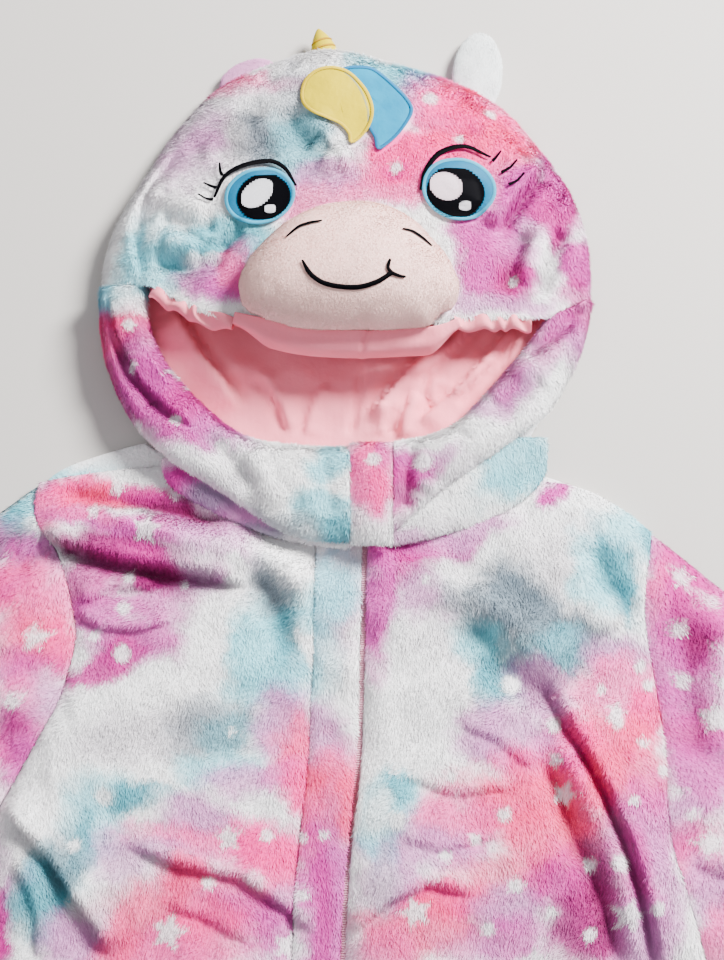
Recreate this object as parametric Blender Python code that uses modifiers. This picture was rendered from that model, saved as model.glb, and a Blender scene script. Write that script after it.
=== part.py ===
"""Unicorn onesie for a small child, laid flat on its back with the hood face up.

Every cloth piece is a wall of its real thickness, lofted through rows of points that are worked out
from the tables below. Tables are in millimetres, with the origin at the centre-front neck seam,
+X to the viewer's right, +Y towards the crown of the hood and +Z up off the table. The finished
model is moved at the end so that its origin is at the bottom centre of its box.
"""

import math

import bmesh
import bpy
import numpy as np
from mathutils.bvhtree import BVHTree

MM = 0.001
GAP = 0.3
PLUSH = 3.0
LINING = 1.0
SATIN = 0.9
EMBROIDERY = 0.8


def table(columns, *rows):
    names = columns.split()
    return [dict(zip(names, row)) for row in rows]


def column(rows, name):
    return np.array([row[name] for row in rows], dtype=float)


# ---------------------------------------------------------------- body sizes

# The zip line wanders a little, as the cloth lies. Offsets across are from this line.
ZIP_LINE = table(
    "y across",
    (0, 1.9), (-80, 0.4), (-156, -2.5), (-183, -6.8), (-214, -9.9), (-265, -12.2),
    (-340, -10), (-430, -5), (-520, -1), (-590, 0), (-1100, 0),
)
ZIP_VALLEY = 2.0
PLACKET_WIDTH = 28.7

# Rows of the viewer's left half, from the shoulder to the ankle. in_x is from the zip line.
LEFT_ROWS = table(
    "in_x in_y back_y out_x out_y puff",
    (-124, 44, 47, -208.5, 33, 10),
    (-110, 25, 30, -212, 9, 13),
    (-84, 13, 12, -196, -8, 14),
    (-58, 3, -8, -187, -31, 15),
    (-31.6, -2, -30, -181, -60, 15),
    (-31.6, -35, -55, -182, -75, 16),
    (-31.6, -70, -85, -190, -107, 17),
    (-31.6, -105, -115, -204, -132, 17),
    (-31.6, -145, -150, -219, -160, 17),
    (-31.6, -185, -185, -229, -180, 17),
    (-31.6, -225, -225, -234, -222, 17),
    (-31.6, -268, -268, -237, -268, 17),
    (-31.6, -340, -340, -239, -340, 18),
    (-31.6, -430, -430, -238, -430, 19),
    (-31.6, -520, -520, -236, -520, 19),
    (-26, -590, -590, -236, -590, 19),
    (-5, -648, -648, -234, -648, 18),
    (-16, -690, -690, -230, -690, 18),
    (-38, -780, -780, -222, -780, 18),
    (-56, -880, -880, -210, -880, 17),
    (-66, -980, -980, -198, -980, 16),
    (-68, -1045, -1045, -192, -1045, 13),
)
RIGHT_ROWS = table(
    "in_x in_y back_y out_x out_y puff",
    (112, 34, 47, 186, 0.5, 10),
    (102, 26, 30, 184, -14, 13),
    (82, 14, 12, 178.5, -40, 14),
    (54, 4, -8, 179.5, -62, 15),
    (2, -2, -30, 183, -84, 15),
    (2, -35, -55, 187, -112, 16),
    (2, -70, -85, 190.5, -142, 17),
    (2, -105, -115, 190, -172, 17),
    (2, -145, -150, 194, -204, 17),
    (2, -185, -185, 203, -232, 17),
    (2, -225, -225, 211, -266, 17),
    (2, -268, -268, 219, -290, 17),
    (2, -340, -340, 226, -350, 18),
    (2, -430, -430, 231, -430, 19),
    (2, -520, -520, 234, -520, 19),
    (2, -590, -590, 235, -590, 19),
    (4, -648, -648, 234, -648, 18),
    (16, -690, -690, 230, -690, 18),
    (38, -780, -780, 222, -780, 18),
    (56, -880, -880, 210, -880, 17),
    (66, -980, -980, 198, -980, 16),
    (68, -1045, -1045, 192, -1045, 13),
)
LEFT_UNDERARM = 9
RIGHT_UNDERARM = 11
NECK_ROW = 4
CROTCH = 16
SHOULDER_BOW = {"left": 2.0, "right": 9.0}

# The back's top edge: the back neck seam, then the yoke that shows behind the left shoulder.
BACK_TOP = {
    "left": table("x y", (0, 47), (-62, 47), (-126.5, 47), (-140.5, 60), (-158.5, 55.5),
                  (-194, 44), (-208.5, 33)),
    "right": table("x y", (0, 47), (56, 47), (112.7, 40), (124.6, 35.5), (141.4, 30),
                   (173, 13), (186, 0.5)),
}

SEAM_TOP = 6.5
NECK_SEAM_TOP = 9.2
ARM_SEAM_TOP = 11.0
SOFT_EDGE = 20.0
ACROSS = (0, 0.05, 0.14, 0.27, 0.41, 0.55, 0.69, 0.81, 0.9, 0.96, 1)
ACROSS_BACK = (0, 0.3, 0.607, 0.674, 0.76, 0.93, 1)
FINE_STEP = 21.0
COARSE_STEP = 80.0
FINE_ROWS = 12

# Folds of the fronts: a ridge (height above nought) or a valley along three points.
BODY_FOLDS = table(
    "height width x1 y1 x2 y2 x3 y3",
    (8.5, 10, -170, 16, -92, -8, -22, -42),
    (-3.5, 8, -198, 24, -158, 16, -112, 14),
    (-5.0, 9, -206, -4, -150, -20, -100, -34),
    (3.5, 9, -188, -40, -158, -62, -122, -60),
    (-4.0, 9, -66, -32, -52, -54, -42, -74),
    (4.5, 12, -226, -178, -198, -210, -164, -252),
    (-4.0, 8, -214, -196, -186, -226, -170, -262),
    (3.5, 10, -146, -206, -78, -222, -36, -252),
    (-3.5, 8, -144, -222, -90, -238, -50, -262),
    (3.0, 9, -6, -250, 26, -228, 66, -222),
    (-4.5, 8, 142, -130, 156, -178, 180, -262),
    (4.5, 9, 152, -124, 170, -172, 190, -252),
    (-4.0, 8, 124, -168, 142, -204, 160, -258),
    (4.0, 10, 108, -160, 124, -206, 142, -270),
    (-3.5, 9, 158, -32, 166, -44, 172, -60),
    (3.0, 14, 40, -30, 92, -46, 140, -80),
    (3.5, 16, -200, -330, -150, -345, -90, -350),
    (3.5, 16, 200, -345, 150, -365, 80, -370),
    (-4.0, 14, -210, -560, -140, -590, -60, -610),
    (-4.0, 14, 210, -550, 140, -585, 60, -612),
    (4.0, 16, -200, -625, -130, -650, -60, -672),
    (4.0, 16, 200, -620, 130, -648, 60, -668),
    (-3.5, 14, -214, -760, -150, -776, -84, -770),
    (-3.5, 14, 214, -770, 150, -780, 84, -776),
    (3.0, 14, -200, -860, -140, -872, -86, -868),
    (3.0, 14, 200, -850, 140, -868, 86, -872),
)

# ---------------------------------------------------------------- sleeves

SLEEVES = table(
    "side cuff_top_x cuff_top_y cuff_low_x cuff_low_y bow",
    ("left", -464, -214, -390, -302, 14),
    ("right", 464, -278, 392, -370, 14),
)
SLEEVE_MID = 20.0
SLEEVE_EDGE = 7.5
SLEEVE_TURN = 4.2
SLEEVE_CUFF = 15.0
SLEEVE_ROWS = 9
SLEEVE_FOLDS = table(
    "height width x1 y1 x2 y2 x3 y3",
    (4, 11, -238, 0, -246, -60, -240, -120),
    (-3, 9, -262, -12, -270, -70, -262, -130),
    (3, 12, -330, -90, -320, -140, -300, -200),
    (-3, 12, -380, -140, -360, -190, -340, -240),
    (3, 11, -424, -196, -404, -226, -376, -264),
    (4, 11, 214, -40, 232, -110, 236, -190),
    (-3, 9, 240, -62, 256, -130, 258, -210),
    (3, 12, 310, -140, 310, -200, 296, -260),
    (-3, 12, 366, -200, 356, -250, 336, -300),
    (3, 11, 424, -256, 404, -290, 376, -330),
)

# ---------------------------------------------------------------- hood

HOOD_X, HOOD_Y = -10.0, 163.0
HOOD_EDGE = 7.0
HOOD_RISE = 41.0
HOOD_OUTLINE = table(
    "angle radius",
    (-42, 156), (-22, 158), (-4, 160), (8, 162), (23, 163), (36, 160), (51, 163), (72, 159),
    (90, 159.5), (104, 162), (119, 166), (136, 157), (153, 153), (169, 161), (184, 161.5),
    (198, 165), (210, 165), (222, 163),
)
HOOD_FOLDS = table(
    "height width x1 y1 x2 y2 x3 y3",
    (-6, 6, 88, 190, 102, 213, 114, 236),
    (5, 9, 100, 182, 122, 206, 136, 226),
    (-5, 7, -150, 196, -136, 180, -118, 168),
    (4, 8, -146, 214, -126, 198, -104, 184),
    (-4, 8, -126, 262, -112, 240, -104, 214),
    (-4, 6, 84, 170, 98, 160, 108, 144),
    (3.5, 10, -20, 232, 0, 224, 26, 226),
    (-3, 9, -104, 152, -96, 166, -92, 184),
    (3.0, 10, 60, 300, 80, 276, 92, 250),
)
# The plush edge over the face opening, from the viewer's left cheek to the right one.
BRIM = table("x y", (-136, 158), (-120, 147), (-101, 137), (-82, 131), (-40, 126), (0, 125),
             (40, 127), (64, 132), (92, 134), (117, 136))
FACE_LEFT_ANGLE, FACE_RIGHT_ANGLE = 181.8, -3.8
FACE_COLUMNS = 24
FACE_ROWS = (0, 0.025, 0.08, 0.17, 0.3, 0.45, 0.62, 0.8, 1)
FACE_LINING_FIRST = 4

# The lining's loose roll over the brim: how far out and how far down from the plush edge.
BRIM_SECTION = table("out drop", (0.5, 0.3), (3.6, 0.6), (6.8, 2.0), (8.8, 5.0), (8.4, 8.6),
                     (5.4, 11.2), (1.4, 12.2))

# The rolled sides of the face opening, from the cheek to the zip.
RIM_LEFT = table(
    "out_x out_y in_x in_y out_z in_z top",
    (-172, 157.6, -137.5, 157.2, 7.2, 24, 33),
    (-171.5, 140, -139, 138, 7.2, 20, 33),
    (-167, 112, -131, 116, 7.2, 15, 33),
    (-155.5, 84, -117, 97, 7.2, 14, 33),
    (-141, 62, -99, 79, 16, 13, 33),
    (-118, 42, -82, 65, 22, 13, 34),
    (-92, 26, -64, 58, 22, 13, 34),
    (-66, 9, -46, 56, 22, 13, 34),
    (-42, -5, -27, 55, 22, 13, 34),
    (-8, -8, -8, 55, 22, 13, 33),
)
RIM_RIGHT = table(
    "out_x out_y in_x in_y out_z in_z top",
    (150.5, 151.6, 117.5, 135.2, 7.2, 24, 33),
    (147, 132, 108, 122, 7.2, 20, 33),
    (137, 105, 92, 103, 7.2, 15, 33),
    (119.5, 76, 74, 83, 18, 13, 34),
    (101, 62, 62, 71, 22, 13, 34),
    (82, 48, 50, 64, 22, 13, 34),
    (52, 27, 35, 60, 22, 13, 34),
    (21, 0, 20, 58, 22, 13, 34),
)
RIM_ROWS = 17
RIM_SECTION = 8
RIM_FOLDS = table(
    "height width x1 y1 x2 y2 x3 y3",
    (-7, 5, -160, 150, -152, 118, -138, 94),
    (-4, 6, -138, 94, -128, 82, -112, 72),
    (3, 7, -146, 140, -140, 116, -126, 96),
    (-4, 8, -100, 62, -86, 48, -72, 24),
    (3, 9, -60, 40, -48, 24, -38, 6),
    (-3.5, 7, 136, 138, 126, 124, 108, 112),
    (-3, 8, 112, 92, 96, 80, 84, 78),
    (3, 9, 84, 66, 66, 54, 52, 44),
)

# The lower front of the hood, a soft strip between the rims and the neck seam.
NECK_LEFT = table(
    "out_x out_y in_x in_y",
    (-129, 46, -108, 50),
    (-126, 32, -102, 44),
    (-106, 19, -88, 36),
    (-84, 9, -70, 26),
    (-58, -2, -47, 16),
    (-34, -7.5, -28, 10),
    (-8, -10.5, -8, 8),
)
NECK_RIGHT = table(
    "out_x out_y in_x in_y",
    (118.5, 60, 88, 60),
    (118, 36, 78, 52),
    (101, 20, 68, 44),
    (75, 7, 52, 32),
    (48, -2, 36, 22),
    (20, -8, 20, 12),
)
NECK_ROWS = 11
NECK_SECTION = 5
NECK_TOP, NECK_LOW = 20.5, 12.6

FLAP_LEFT, FLAP_RIGHT, FLAP_LOW, FLAP_HIGH, FLAP_TOP = -7.5, 19.2, -9, 56, 36.0

HOOD_BACK_INSET = 5.0
HOOD_BACK_ROWS = 12
HOOD_BACK_ACROSS = 8
LINING_RADIUS = 146.0
LINING_LOW_Y, LINING_HIGH_Y = 28.0, 214.0
LINING_FLOOR, LINING_RISE = 4.8, 5.0
LINING_ROWS, LINING_COLUMNS = 12, 12
LINING_FOLDS = table(
    "height width x1 y1 x2 y2 x3 y3",
    (14, 8, -118, 142, -104, 116, -86, 96),
    (5, 5, 2, 112, -4, 88, -8, 62),
    (7, 7, 50, 126, 26, 104, 4, 78),
    (5, 6, -60, 100, -52, 82, -46, 66),
    (5, 6, -28, 96, -34, 80, -38, 64),
    (6, 5, 92, 132, 84, 120, 72, 108),
    (4, 5, 78, 140, 66, 122, 50, 108),
    (5, 5, 66, 96, 52, 86, 38, 74),
)

# ---------------------------------------------------------------- trim on the hood

MUZZLE_X, MUZZLE_Y = -8.0, 160.0
MUZZLE_OUTLINE = table(
    "angle radius",
    (-76, 40.5), (-50, 50), (-36, 64), (-26, 74), (-13, 74), (0, 68), (20, 57), (47, 51), (70, 47),
    (96, 44), (129, 47.5), (158, 56), (175, 66), (187, 72.5), (199, 74), (209, 63), (235, 46.5),
    (262, 39.5),
)
MUZZLE_RISE, MUZZLE_SIDE, MUZZLE_LIFT = 30.0, 6.0, 4.3
MUZZLE_RINGS = (0, 0.3, 0.55, 0.76, 0.92, 1)
MUZZLE_COLUMNS = 26
UNDER_SECTION = table("out drop", (0.5, -2.6), (4.2, -1.0), (7.8, 3.4), (9.2, 9), (7.6, 15),
                      (2.5, 19))
UNDER_EDGE = table("x y", (-80, 131.5), (-62, 127), (-36, 120.6), (0, 118.8), (30, 120.6),
                   (46, 121.6), (60, 127.5))

EYES = table(
    "name x y wide high tilt level",
    ("eye_left_iris", -65.5, 212.3, 21.8, 18.2, 8, 0),
    ("eye_left_pupil", -63.0, 211.2, 17.2, 14.8, 8, 1),
    ("eye_left_glint_big", -67.2, 213.2, 11.4, 7.8, 45, 2),
    ("eye_left_glint_small", -58.6, 202.6, 3.4, 2.8, 0, 2),
    ("eye_right_iris", 62.3, 217.5, 22.4, 20.2, -8, 0),
    ("eye_right_pupil", 60.0, 214.6, 18.4, 16.4, -8, 1),
    ("eye_right_glint_big", 53.8, 217.9, 10.6, 9.2, -35, 2),
    ("eye_right_glint_small", 65.9, 204.8, 3.8, 3.0, 0, 2),
)
# What lies on the face or the muzzle starts this far above it, and each layer is one level up.
LIFT, LEVEL = 0.9, 1.2

LINES = table(
    "name on width x1 y1 x2 y2 x3 y3 x4 y4",
    ("eye_left_lid", "hood", 3.8, -95, 213, -86, 229, -63, 236.5, -42.5, 219),
    ("eye_left_lash_1", "hood", 2.2, -90, 227.5, -91.5, 231, -92, 234, -92.2, 237),
    ("eye_left_lash_2", "hood", 2.2, -94, 219, -96.5, 220, -99, 221.5, -101, 222.8),
    ("eye_left_lash_3", "hood", 2.2, -97, 211.5, -100, 212, -102, 212.7, -104, 213.8),
    ("eye_right_lid", "hood", 3.8, 37.5, 216, 44, 235, 60, 247.5, 83, 241),
    ("eye_right_lash_1", "hood", 2.2, 85, 239, 87, 240.8, 88.6, 242.6, 90, 244.6),
    ("eye_right_lash_2", "hood", 2.2, 90, 230, 94, 232, 97, 235.4, 100, 239),
    ("eye_right_lash_3", "hood", 2.2, 94.5, 221.5, 98, 223, 101, 225.5, 103.5, 228.5),
    ("nostril_left", "muzzle", 2.4, -46.6, 175.2, -39, 181.5, -32, 183.4, -24.9, 184.1),
    ("nostril_right", "muzzle", 2.4, 25.5, 179.9, 31.5, 179.4, 37.5, 176.2, 43.5, 171.5),
    ("mouth", "muzzle", 3.0, -36.5, 157.0, -24, 142.5, -4, 140, 13.2, 146.0),
    ("mouth_tick", "muzzle", 2.4, 17.2, 157.5, 16.2, 153, 19.5, 148.8, 26.5, 147.2),
)

FORELOCK = {
    "forelock_blue": table(
        "x y", (-12, 303.5), (-2.6, 306.5), (6.5, 306.2), (13.7, 300.9), (21.6, 292.6),
        (28.7, 283.7), (32.4, 274.7), (28.6, 264.4), (22.7, 254.8), (15.6, 247.3), (10.4, 244.2),
        (8.7, 252.8), (4.5, 262), (3.5, 274), (-0.5, 287), (-6, 296)),
    "forelock_yellow": table(
        "x y", (-6.5, 248.2), (-8.2, 255.5), (-13.7, 262.6), (-22, 267), (-31.2, 271.3),
        (-37.8, 278), (-39, 286.4), (-36.6, 295.4), (-29, 302.4), (-19.0, 304.4), (-10, 301.8),
        (-2.6, 295.2), (3.3, 286.4), (6.5, 275.0), (5.4, 264), (0.2, 254.3)),
}

# The horn's base is tucked under the crown, whose edge rises over it.
HORN = table("along radius", (0, 10.0), (11, 10.0), (21, 9.6), (27.5, 8.2), (33, 5.6), (38, 2.2),
             (39.5, 0.6))
HORN_X, HORN_Y, HORN_Z, HORN_TURN, HORN_TILT = -20.0, 304.0, 10.6, 104.0, 3.0
HORN_ARCH, HORN_ARCH_X, HORN_NOTCH, HORN_ROOM = 20.0, -24.0, 26.0, 26.0
EARS = table(
    "name x y turn base_turn long wide thick",
    ("ear_left", -80.5, 313.6, 112, 24, 9, 17, 11),
    ("ear_right", 79.6, 302.6, 95, -32.4, 40, 17.5, 12),
)
EAR_ROUND, EAR_BELLY, EAR_TAPER, EAR_SWING = 3.4, 0.12, 0.7, 0.6

# ---------------------------------------------------------------- curves and heights


def ease(t):
    t = np.clip(t, 0.0, 1.0)
    return t * t * (3.0 - 2.0 * t)


def round_edge(distance, reach):
    """Quarter-round rise of a soft edge: nought at the edge, one past its reach."""
    t = np.clip(distance / reach, 0.0, 1.0)
    return math.sqrt(1.0 - (1.0 - t) ** 2)


def smooth_path(points, count, closed=False):
    """A Catmull-Rom curve through points, given back as count points evenly spaced along it."""
    points = np.asarray(points, dtype=float)
    if closed:
        points = np.vstack([points[-1], points, points[0], points[1]])
    else:
        points = np.vstack([2 * points[0] - points[1], points, 2 * points[-1] - points[-2]])
    fine = []
    for k in range(1, len(points) - 2):
        p0, p1, p2, p3 = points[k - 1:k + 3]
        for t in np.linspace(0, 1, 12, endpoint=False):
            fine.append(0.5 * (2 * p1 + (p2 - p0) * t + (2 * p0 - 5 * p1 + 4 * p2 - p3) * t ** 2
                               + (3 * p1 - p0 - 3 * p2 + p3) * t ** 3))
    fine.append(points[-2])
    return even_path(np.array(fine), count, closed)


def even_path(fine, count, closed=False):
    run = np.r_[0, np.cumsum(np.linalg.norm(np.diff(fine, axis=0), axis=1))]
    places = np.linspace(0, run[-1], count, endpoint=not closed)
    return np.stack([np.interp(places, run, fine[:, k]) for k in range(fine.shape[1])], axis=1)


def table_path(rows, names):
    return np.stack([column(rows, name) for name in names.split()], axis=1)


def zip_x(y):
    return float(np.interp(-y, -column(ZIP_LINE, "y"), column(ZIP_LINE, "across")))


def fold_height(x, y, folds):
    """Height that the folds add at a place: each is a soft ridge or valley along two lines."""
    total = 0.0
    here = np.array([x, y])
    for fold in folds:
        knots = [np.array([fold["x%d" % k], fold["y%d" % k]]) for k in (1, 2, 3)]
        total += fold["height"] * math.exp(-(path_distance(here, knots) / fold["width"]) ** 2)
    return total


def polar(x, y, centre_x, centre_y, outline, first):
    """Distance from the centre as a share of the outline's radius in that direction."""
    angle = math.degrees(math.atan2(y - centre_y, x - centre_x))
    if angle < first:
        angle += 360.0
    radius = float(np.interp(angle, column(outline, "angle"), column(outline, "radius")))
    return math.hypot(x - centre_x, y - centre_y) / radius


def hood_height(x, y):
    """Top of the plush over the hood's dome, with its edge arched over the horn."""
    share = min(polar(x, y, HOOD_X, HOOD_Y, HOOD_OUTLINE, -90.0), 1.0)
    arch = HORN_ARCH * math.exp(-((x - HORN_ARCH_X) / HORN_ROOM) ** 2) * ease((y - 284.0) / 30.0)
    edge = HOOD_EDGE + arch
    dome = edge + (HOOD_EDGE + HOOD_RISE - edge) * (1.0 - share ** 3) ** 0.6
    return dome + fold_height(x, y, HOOD_FOLDS) * ease((1.0 - share) / 0.12)


def hood_base(x, y):
    """Smooth dome that the muzzle sits on, over the folds of the face."""
    share = min(polar(x, y, HOOD_X, HOOD_Y, HOOD_OUTLINE, -90.0), 1.0)
    return HOOD_EDGE + HOOD_RISE * (1.0 - share ** 3) ** 0.6


def surface_of(made):
    """Height of an object's own top surface at a place."""
    tree = BVHTree.FromPolygons([vertex.co for vertex in made.data.vertices],
                                [face.vertices for face in made.data.polygons])

    def height(x, y):
        hit = tree.ray_cast((x * MM, y * MM, 1.0), (0, 0, -1))[0]
        return hit.z / MM

    return height


def outline_point(centre_x, centre_y, outline, angle):
    radius = float(np.interp(angle, column(outline, "angle"), column(outline, "radius")))
    turn = math.radians(angle)
    return np.array([centre_x + radius * math.cos(turn), centre_y + radius * math.sin(turn)])


# ---------------------------------------------------------------- solids and materials

PALETTE = {
    "plush_pink": ((0.86, 0.42, 0.62), 0.92),
    "plush_magenta": ((0.72, 0.30, 0.66), 0.92),
    "plush_teal": ((0.62, 0.83, 0.85), 0.92),
    "plush_white": ((0.90, 0.86, 0.88), 0.92),
    "lining_pink": ((0.93, 0.56, 0.62), 0.85),
    "muzzle_pink": ((0.88, 0.66, 0.66), 0.9),
    "satin_yellow": ((0.93, 0.82, 0.10), 0.35),
    "satin_blue": ((0.22, 0.62, 0.86), 0.35),
    "satin_white": ((0.94, 0.94, 0.95), 0.4),
    "thread_black": ((0.02, 0.02, 0.02), 0.5),
    "zip_rose": ((0.72, 0.42, 0.52), 0.5),
}


def material(name):
    made = bpy.data.materials.get(name)
    if made is None:
        made = bpy.data.materials.new(name)
        made.use_nodes = True
        shader = made.node_tree.nodes["Principled BSDF"]
        colour, roughness = PALETTE[name]
        shader.inputs["Base Color"].default_value = (*colour, 1.0)
        shader.inputs["Roughness"].default_value = roughness
        shader.inputs["Metallic"].default_value = 0.0
    return made


def loft(name, finish, outer, inner, ring=False):
    """A closed wall between two grids of points of one shape; ring joins the last column round."""
    outer, inner = np.asarray(outer, dtype=float), np.asarray(inner, dtype=float)
    rows, columns = outer.shape[:2]
    size = rows * columns
    points = np.vstack([outer.reshape(-1, 3), inner.reshape(-1, 3)]) * MM
    span = columns if ring else columns - 1
    faces = []
    for r in range(rows - 1):
        for c in range(span):
            n = (c + 1) % columns
            quad = (r * columns + c, r * columns + n, (r + 1) * columns + n, (r + 1) * columns + c)
            faces.append(quad)
            faces.append(tuple(size + k for k in reversed(quad)))
    edges = [(c, (c + 1) % columns) for c in range(span)]
    for r, flip in ((0, True), (rows - 1, False)):
        for a, b in edges:
            a, b = r * columns + a, r * columns + b
            side = (a, b, size + b, size + a)
            faces.append(side[::-1] if not flip else side)
    if not ring:
        for c, flip in ((0, False), (columns - 1, True)):
            for r in range(rows - 1):
                a, b = r * columns + c, (r + 1) * columns + c
                side = (a, b, size + b, size + a)
                faces.append(side[::-1] if not flip else side)
    mesh = bpy.data.meshes.new(name)
    mesh.from_pydata(points.tolist(), [], faces)
    return finish_mesh(name, finish, mesh)


def finish_mesh(name, finish, mesh):
    """Welds points that meet, turns every face outwards, shades smooth and adds the object."""
    work = bmesh.new()
    work.from_mesh(mesh)
    bmesh.ops.remove_doubles(work, verts=work.verts, dist=0.00002)
    bmesh.ops.triangulate(work, faces=work.faces)
    bmesh.ops.recalc_face_normals(work, faces=work.faces)
    work.to_mesh(mesh)
    work.free()
    mesh.shade_smooth()
    mesh.set_sharp_from_angle(angle=math.radians(50))
    mesh.materials.append(material(finish))
    made = bpy.data.objects.new(name, mesh)
    PARTS.objects.link(made)
    return made


def panel(name, finish, plan, top, thickness):
    """A cloth panel: a plan grid of x and y, raised to the top height, one wall thick."""
    outer = np.array([[(x, y, top(x, y, r, c)) for c, (x, y) in enumerate(row)]
                      for r, row in enumerate(plan)])
    return loft(name, finish, outer, outer - np.array([0, 0, thickness]))


def strip(name, finish, rows, thickness):
    """A rolled strip: rows of section points, with the inner face one wall inside."""
    rows = np.asarray(rows, dtype=float)
    across = np.gradient(rows, axis=1)
    chord = rows[:, -1:, :2] - rows[:, :1, :2]
    square = np.concatenate([-chord[..., 1:], chord[..., :1], 0 * chord[..., :1]], axis=2)
    out = np.cross(across, square)
    out /= np.linalg.norm(out, axis=2, keepdims=True)
    if out[:, rows.shape[1] // 2, 2].mean() < 0:
        out = -out
    return loft(name, finish, rows, rows - out * thickness)


def disc(name, finish, outline, centre, surface, low, high, rings=(0, 0.5, 0.84, 1)):
    """A flat patch that follows a surface, between two heights over it."""
    plan = [[centre + (point - centre) * share for point in outline] for share in rings]
    base = np.array([[(x, y, surface(x, y)) for x, y in row] for row in plan])
    return loft(name, finish, base + (0, 0, high), base + (0, 0, low), ring=True)


def ribbon(name, finish, points, width, surface, low, high, count):
    """An embroidered line that follows a surface, narrowed at both ends."""
    path = smooth_path(points, count)
    along = np.gradient(path, axis=0)
    side = np.stack([-along[:, 1], along[:, 0]], axis=1)
    side /= np.linalg.norm(side, axis=1, keepdims=True)
    rows = []
    for k, (place, out) in enumerate(zip(path, side)):
        share = k / (count - 1)
        half = 0.5 * width * (0.45 + 0.55 * math.sin(math.pi * share) ** 0.5)
        rows.append([place + out * half, place, place - out * half])
    base = np.array([[(x, y, surface(x, y)) for x, y in row] for row in rows])
    return loft(name, finish, base + (0, 0, high), base + (0, 0, low))


# ---------------------------------------------------------------- body


def row_places(rows):
    """Row positions from the shoulder down, close together above and further apart below."""
    inner, outer = front_inner(rows), table_path(rows, "out_x out_y")
    places = []
    for k in range(len(rows) - 1):
        gap = max(np.linalg.norm(inner[k + 1] - inner[k]), np.linalg.norm(outer[k + 1] - outer[k]))
        steps = max(1, round(gap / (FINE_STEP if k < FINE_ROWS else COARSE_STEP)))
        places += [k + j / steps for j in range(steps)]
    return places + [len(rows) - 1.0]


def front_inner(rows, places=None):
    """The front's inner boundary: the neck curve, the line beside the zip, then the inseam."""
    places = range(len(rows)) if places is None else places
    across = np.interp(places, range(len(rows)), column(rows, "in_x"))
    down = np.interp(places, range(len(rows)), column(rows, "in_y"))
    return np.array([(zip_x(y) + x, y) for x, y in zip(across, down)])


def path_distance(place, path):
    """Shortest distance from a place to a line of points."""
    near = 1e9
    for a, b in zip(path, path[1:]):
        run = b - a
        t = np.clip(np.dot(place - a, run) / np.dot(run, run), 0, 1)
        near = min(near, float(np.linalg.norm(place - a - t * run)))
    return near


def at_rows(path, places):
    """Points of a boundary at row positions, on a smooth curve through its rows."""
    count = len(path)
    ends = np.vstack([2 * path[0] - path[1], path, 2 * path[-1] - path[-2]])
    found = []
    for place in places:
        k = min(int(place), count - 2)
        t = place - k
        p0, p1, p2, p3 = ends[k:k + 4]
        found.append(0.5 * (2 * p1 + (p2 - p0) * t + (2 * p0 - 5 * p1 + 4 * p2 - p3) * t ** 2
                            + (3 * p1 - p0 - 3 * p2 + p3) * t ** 3))
    return np.array(found)


def arm_top(share):
    """Height of the cloth along an armhole seam, from the shoulder to the underarm."""
    return SLEEVE_EDGE + (ARM_SEAM_TOP - SLEEVE_EDGE) * math.sin(math.pi * share) ** 0.5


def make_front(side, rows, underarm):
    places = row_places(rows)
    inner = front_inner(rows, places)
    outer = at_rows(table_path(rows, "out_x out_y"), places)
    neck = front_inner(rows)[:NECK_ROW + 1]
    puff = np.interp(places, range(len(rows)), column(rows, "puff"))
    bow = SHOULDER_BOW[side]
    plan = []
    for place, a, b in zip(places, inner, outer):
        lift = bow * (1.0 - ease(place / 2.5))
        plan.append([a + (b - a) * u + (0, lift * math.sin(math.pi * u)) for u in ACROSS])

    def top(x, y, r, c):
        place, u = places[r], ACROSS[c]
        width = np.linalg.norm(outer[r] - inner[r])
        to_inner, to_outer = u * width, (1.0 - u) * width
        down = np.linalg.norm(np.array(plan[r][c]) - plan[0][c])
        if place <= underarm:
            low_out = arm_top(place / underarm)
        else:
            low_out = SEAM_TOP
        low_in = 9.0 if place < CROTCH else SEAM_TOP
        height = puff[r]
        height -= (puff[r] - low_out) * (1.0 - round_edge(to_outer, SOFT_EDGE))
        height -= (puff[r] - low_in) * (1.0 - round_edge(to_inner, SOFT_EDGE))
        to_neck = path_distance(np.array([x, y]), neck)
        soft = ease(min(to_inner, to_outer) / 16.0) * ease(down / 14.0) * ease(to_neck / 18.0)
        height += fold_height(x, y, BODY_FOLDS) * soft
        height -= (height - 7.0) * (1.0 - round_edge(down, 12.0))
        height = min(height, NECK_SEAM_TOP + 0.3 * to_neck)
        return max(height, SEAM_TOP)

    finish = "plush_pink" if side == "left" else "plush_magenta"
    return panel("front_" + side, finish, plan, top, PLUSH)


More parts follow.
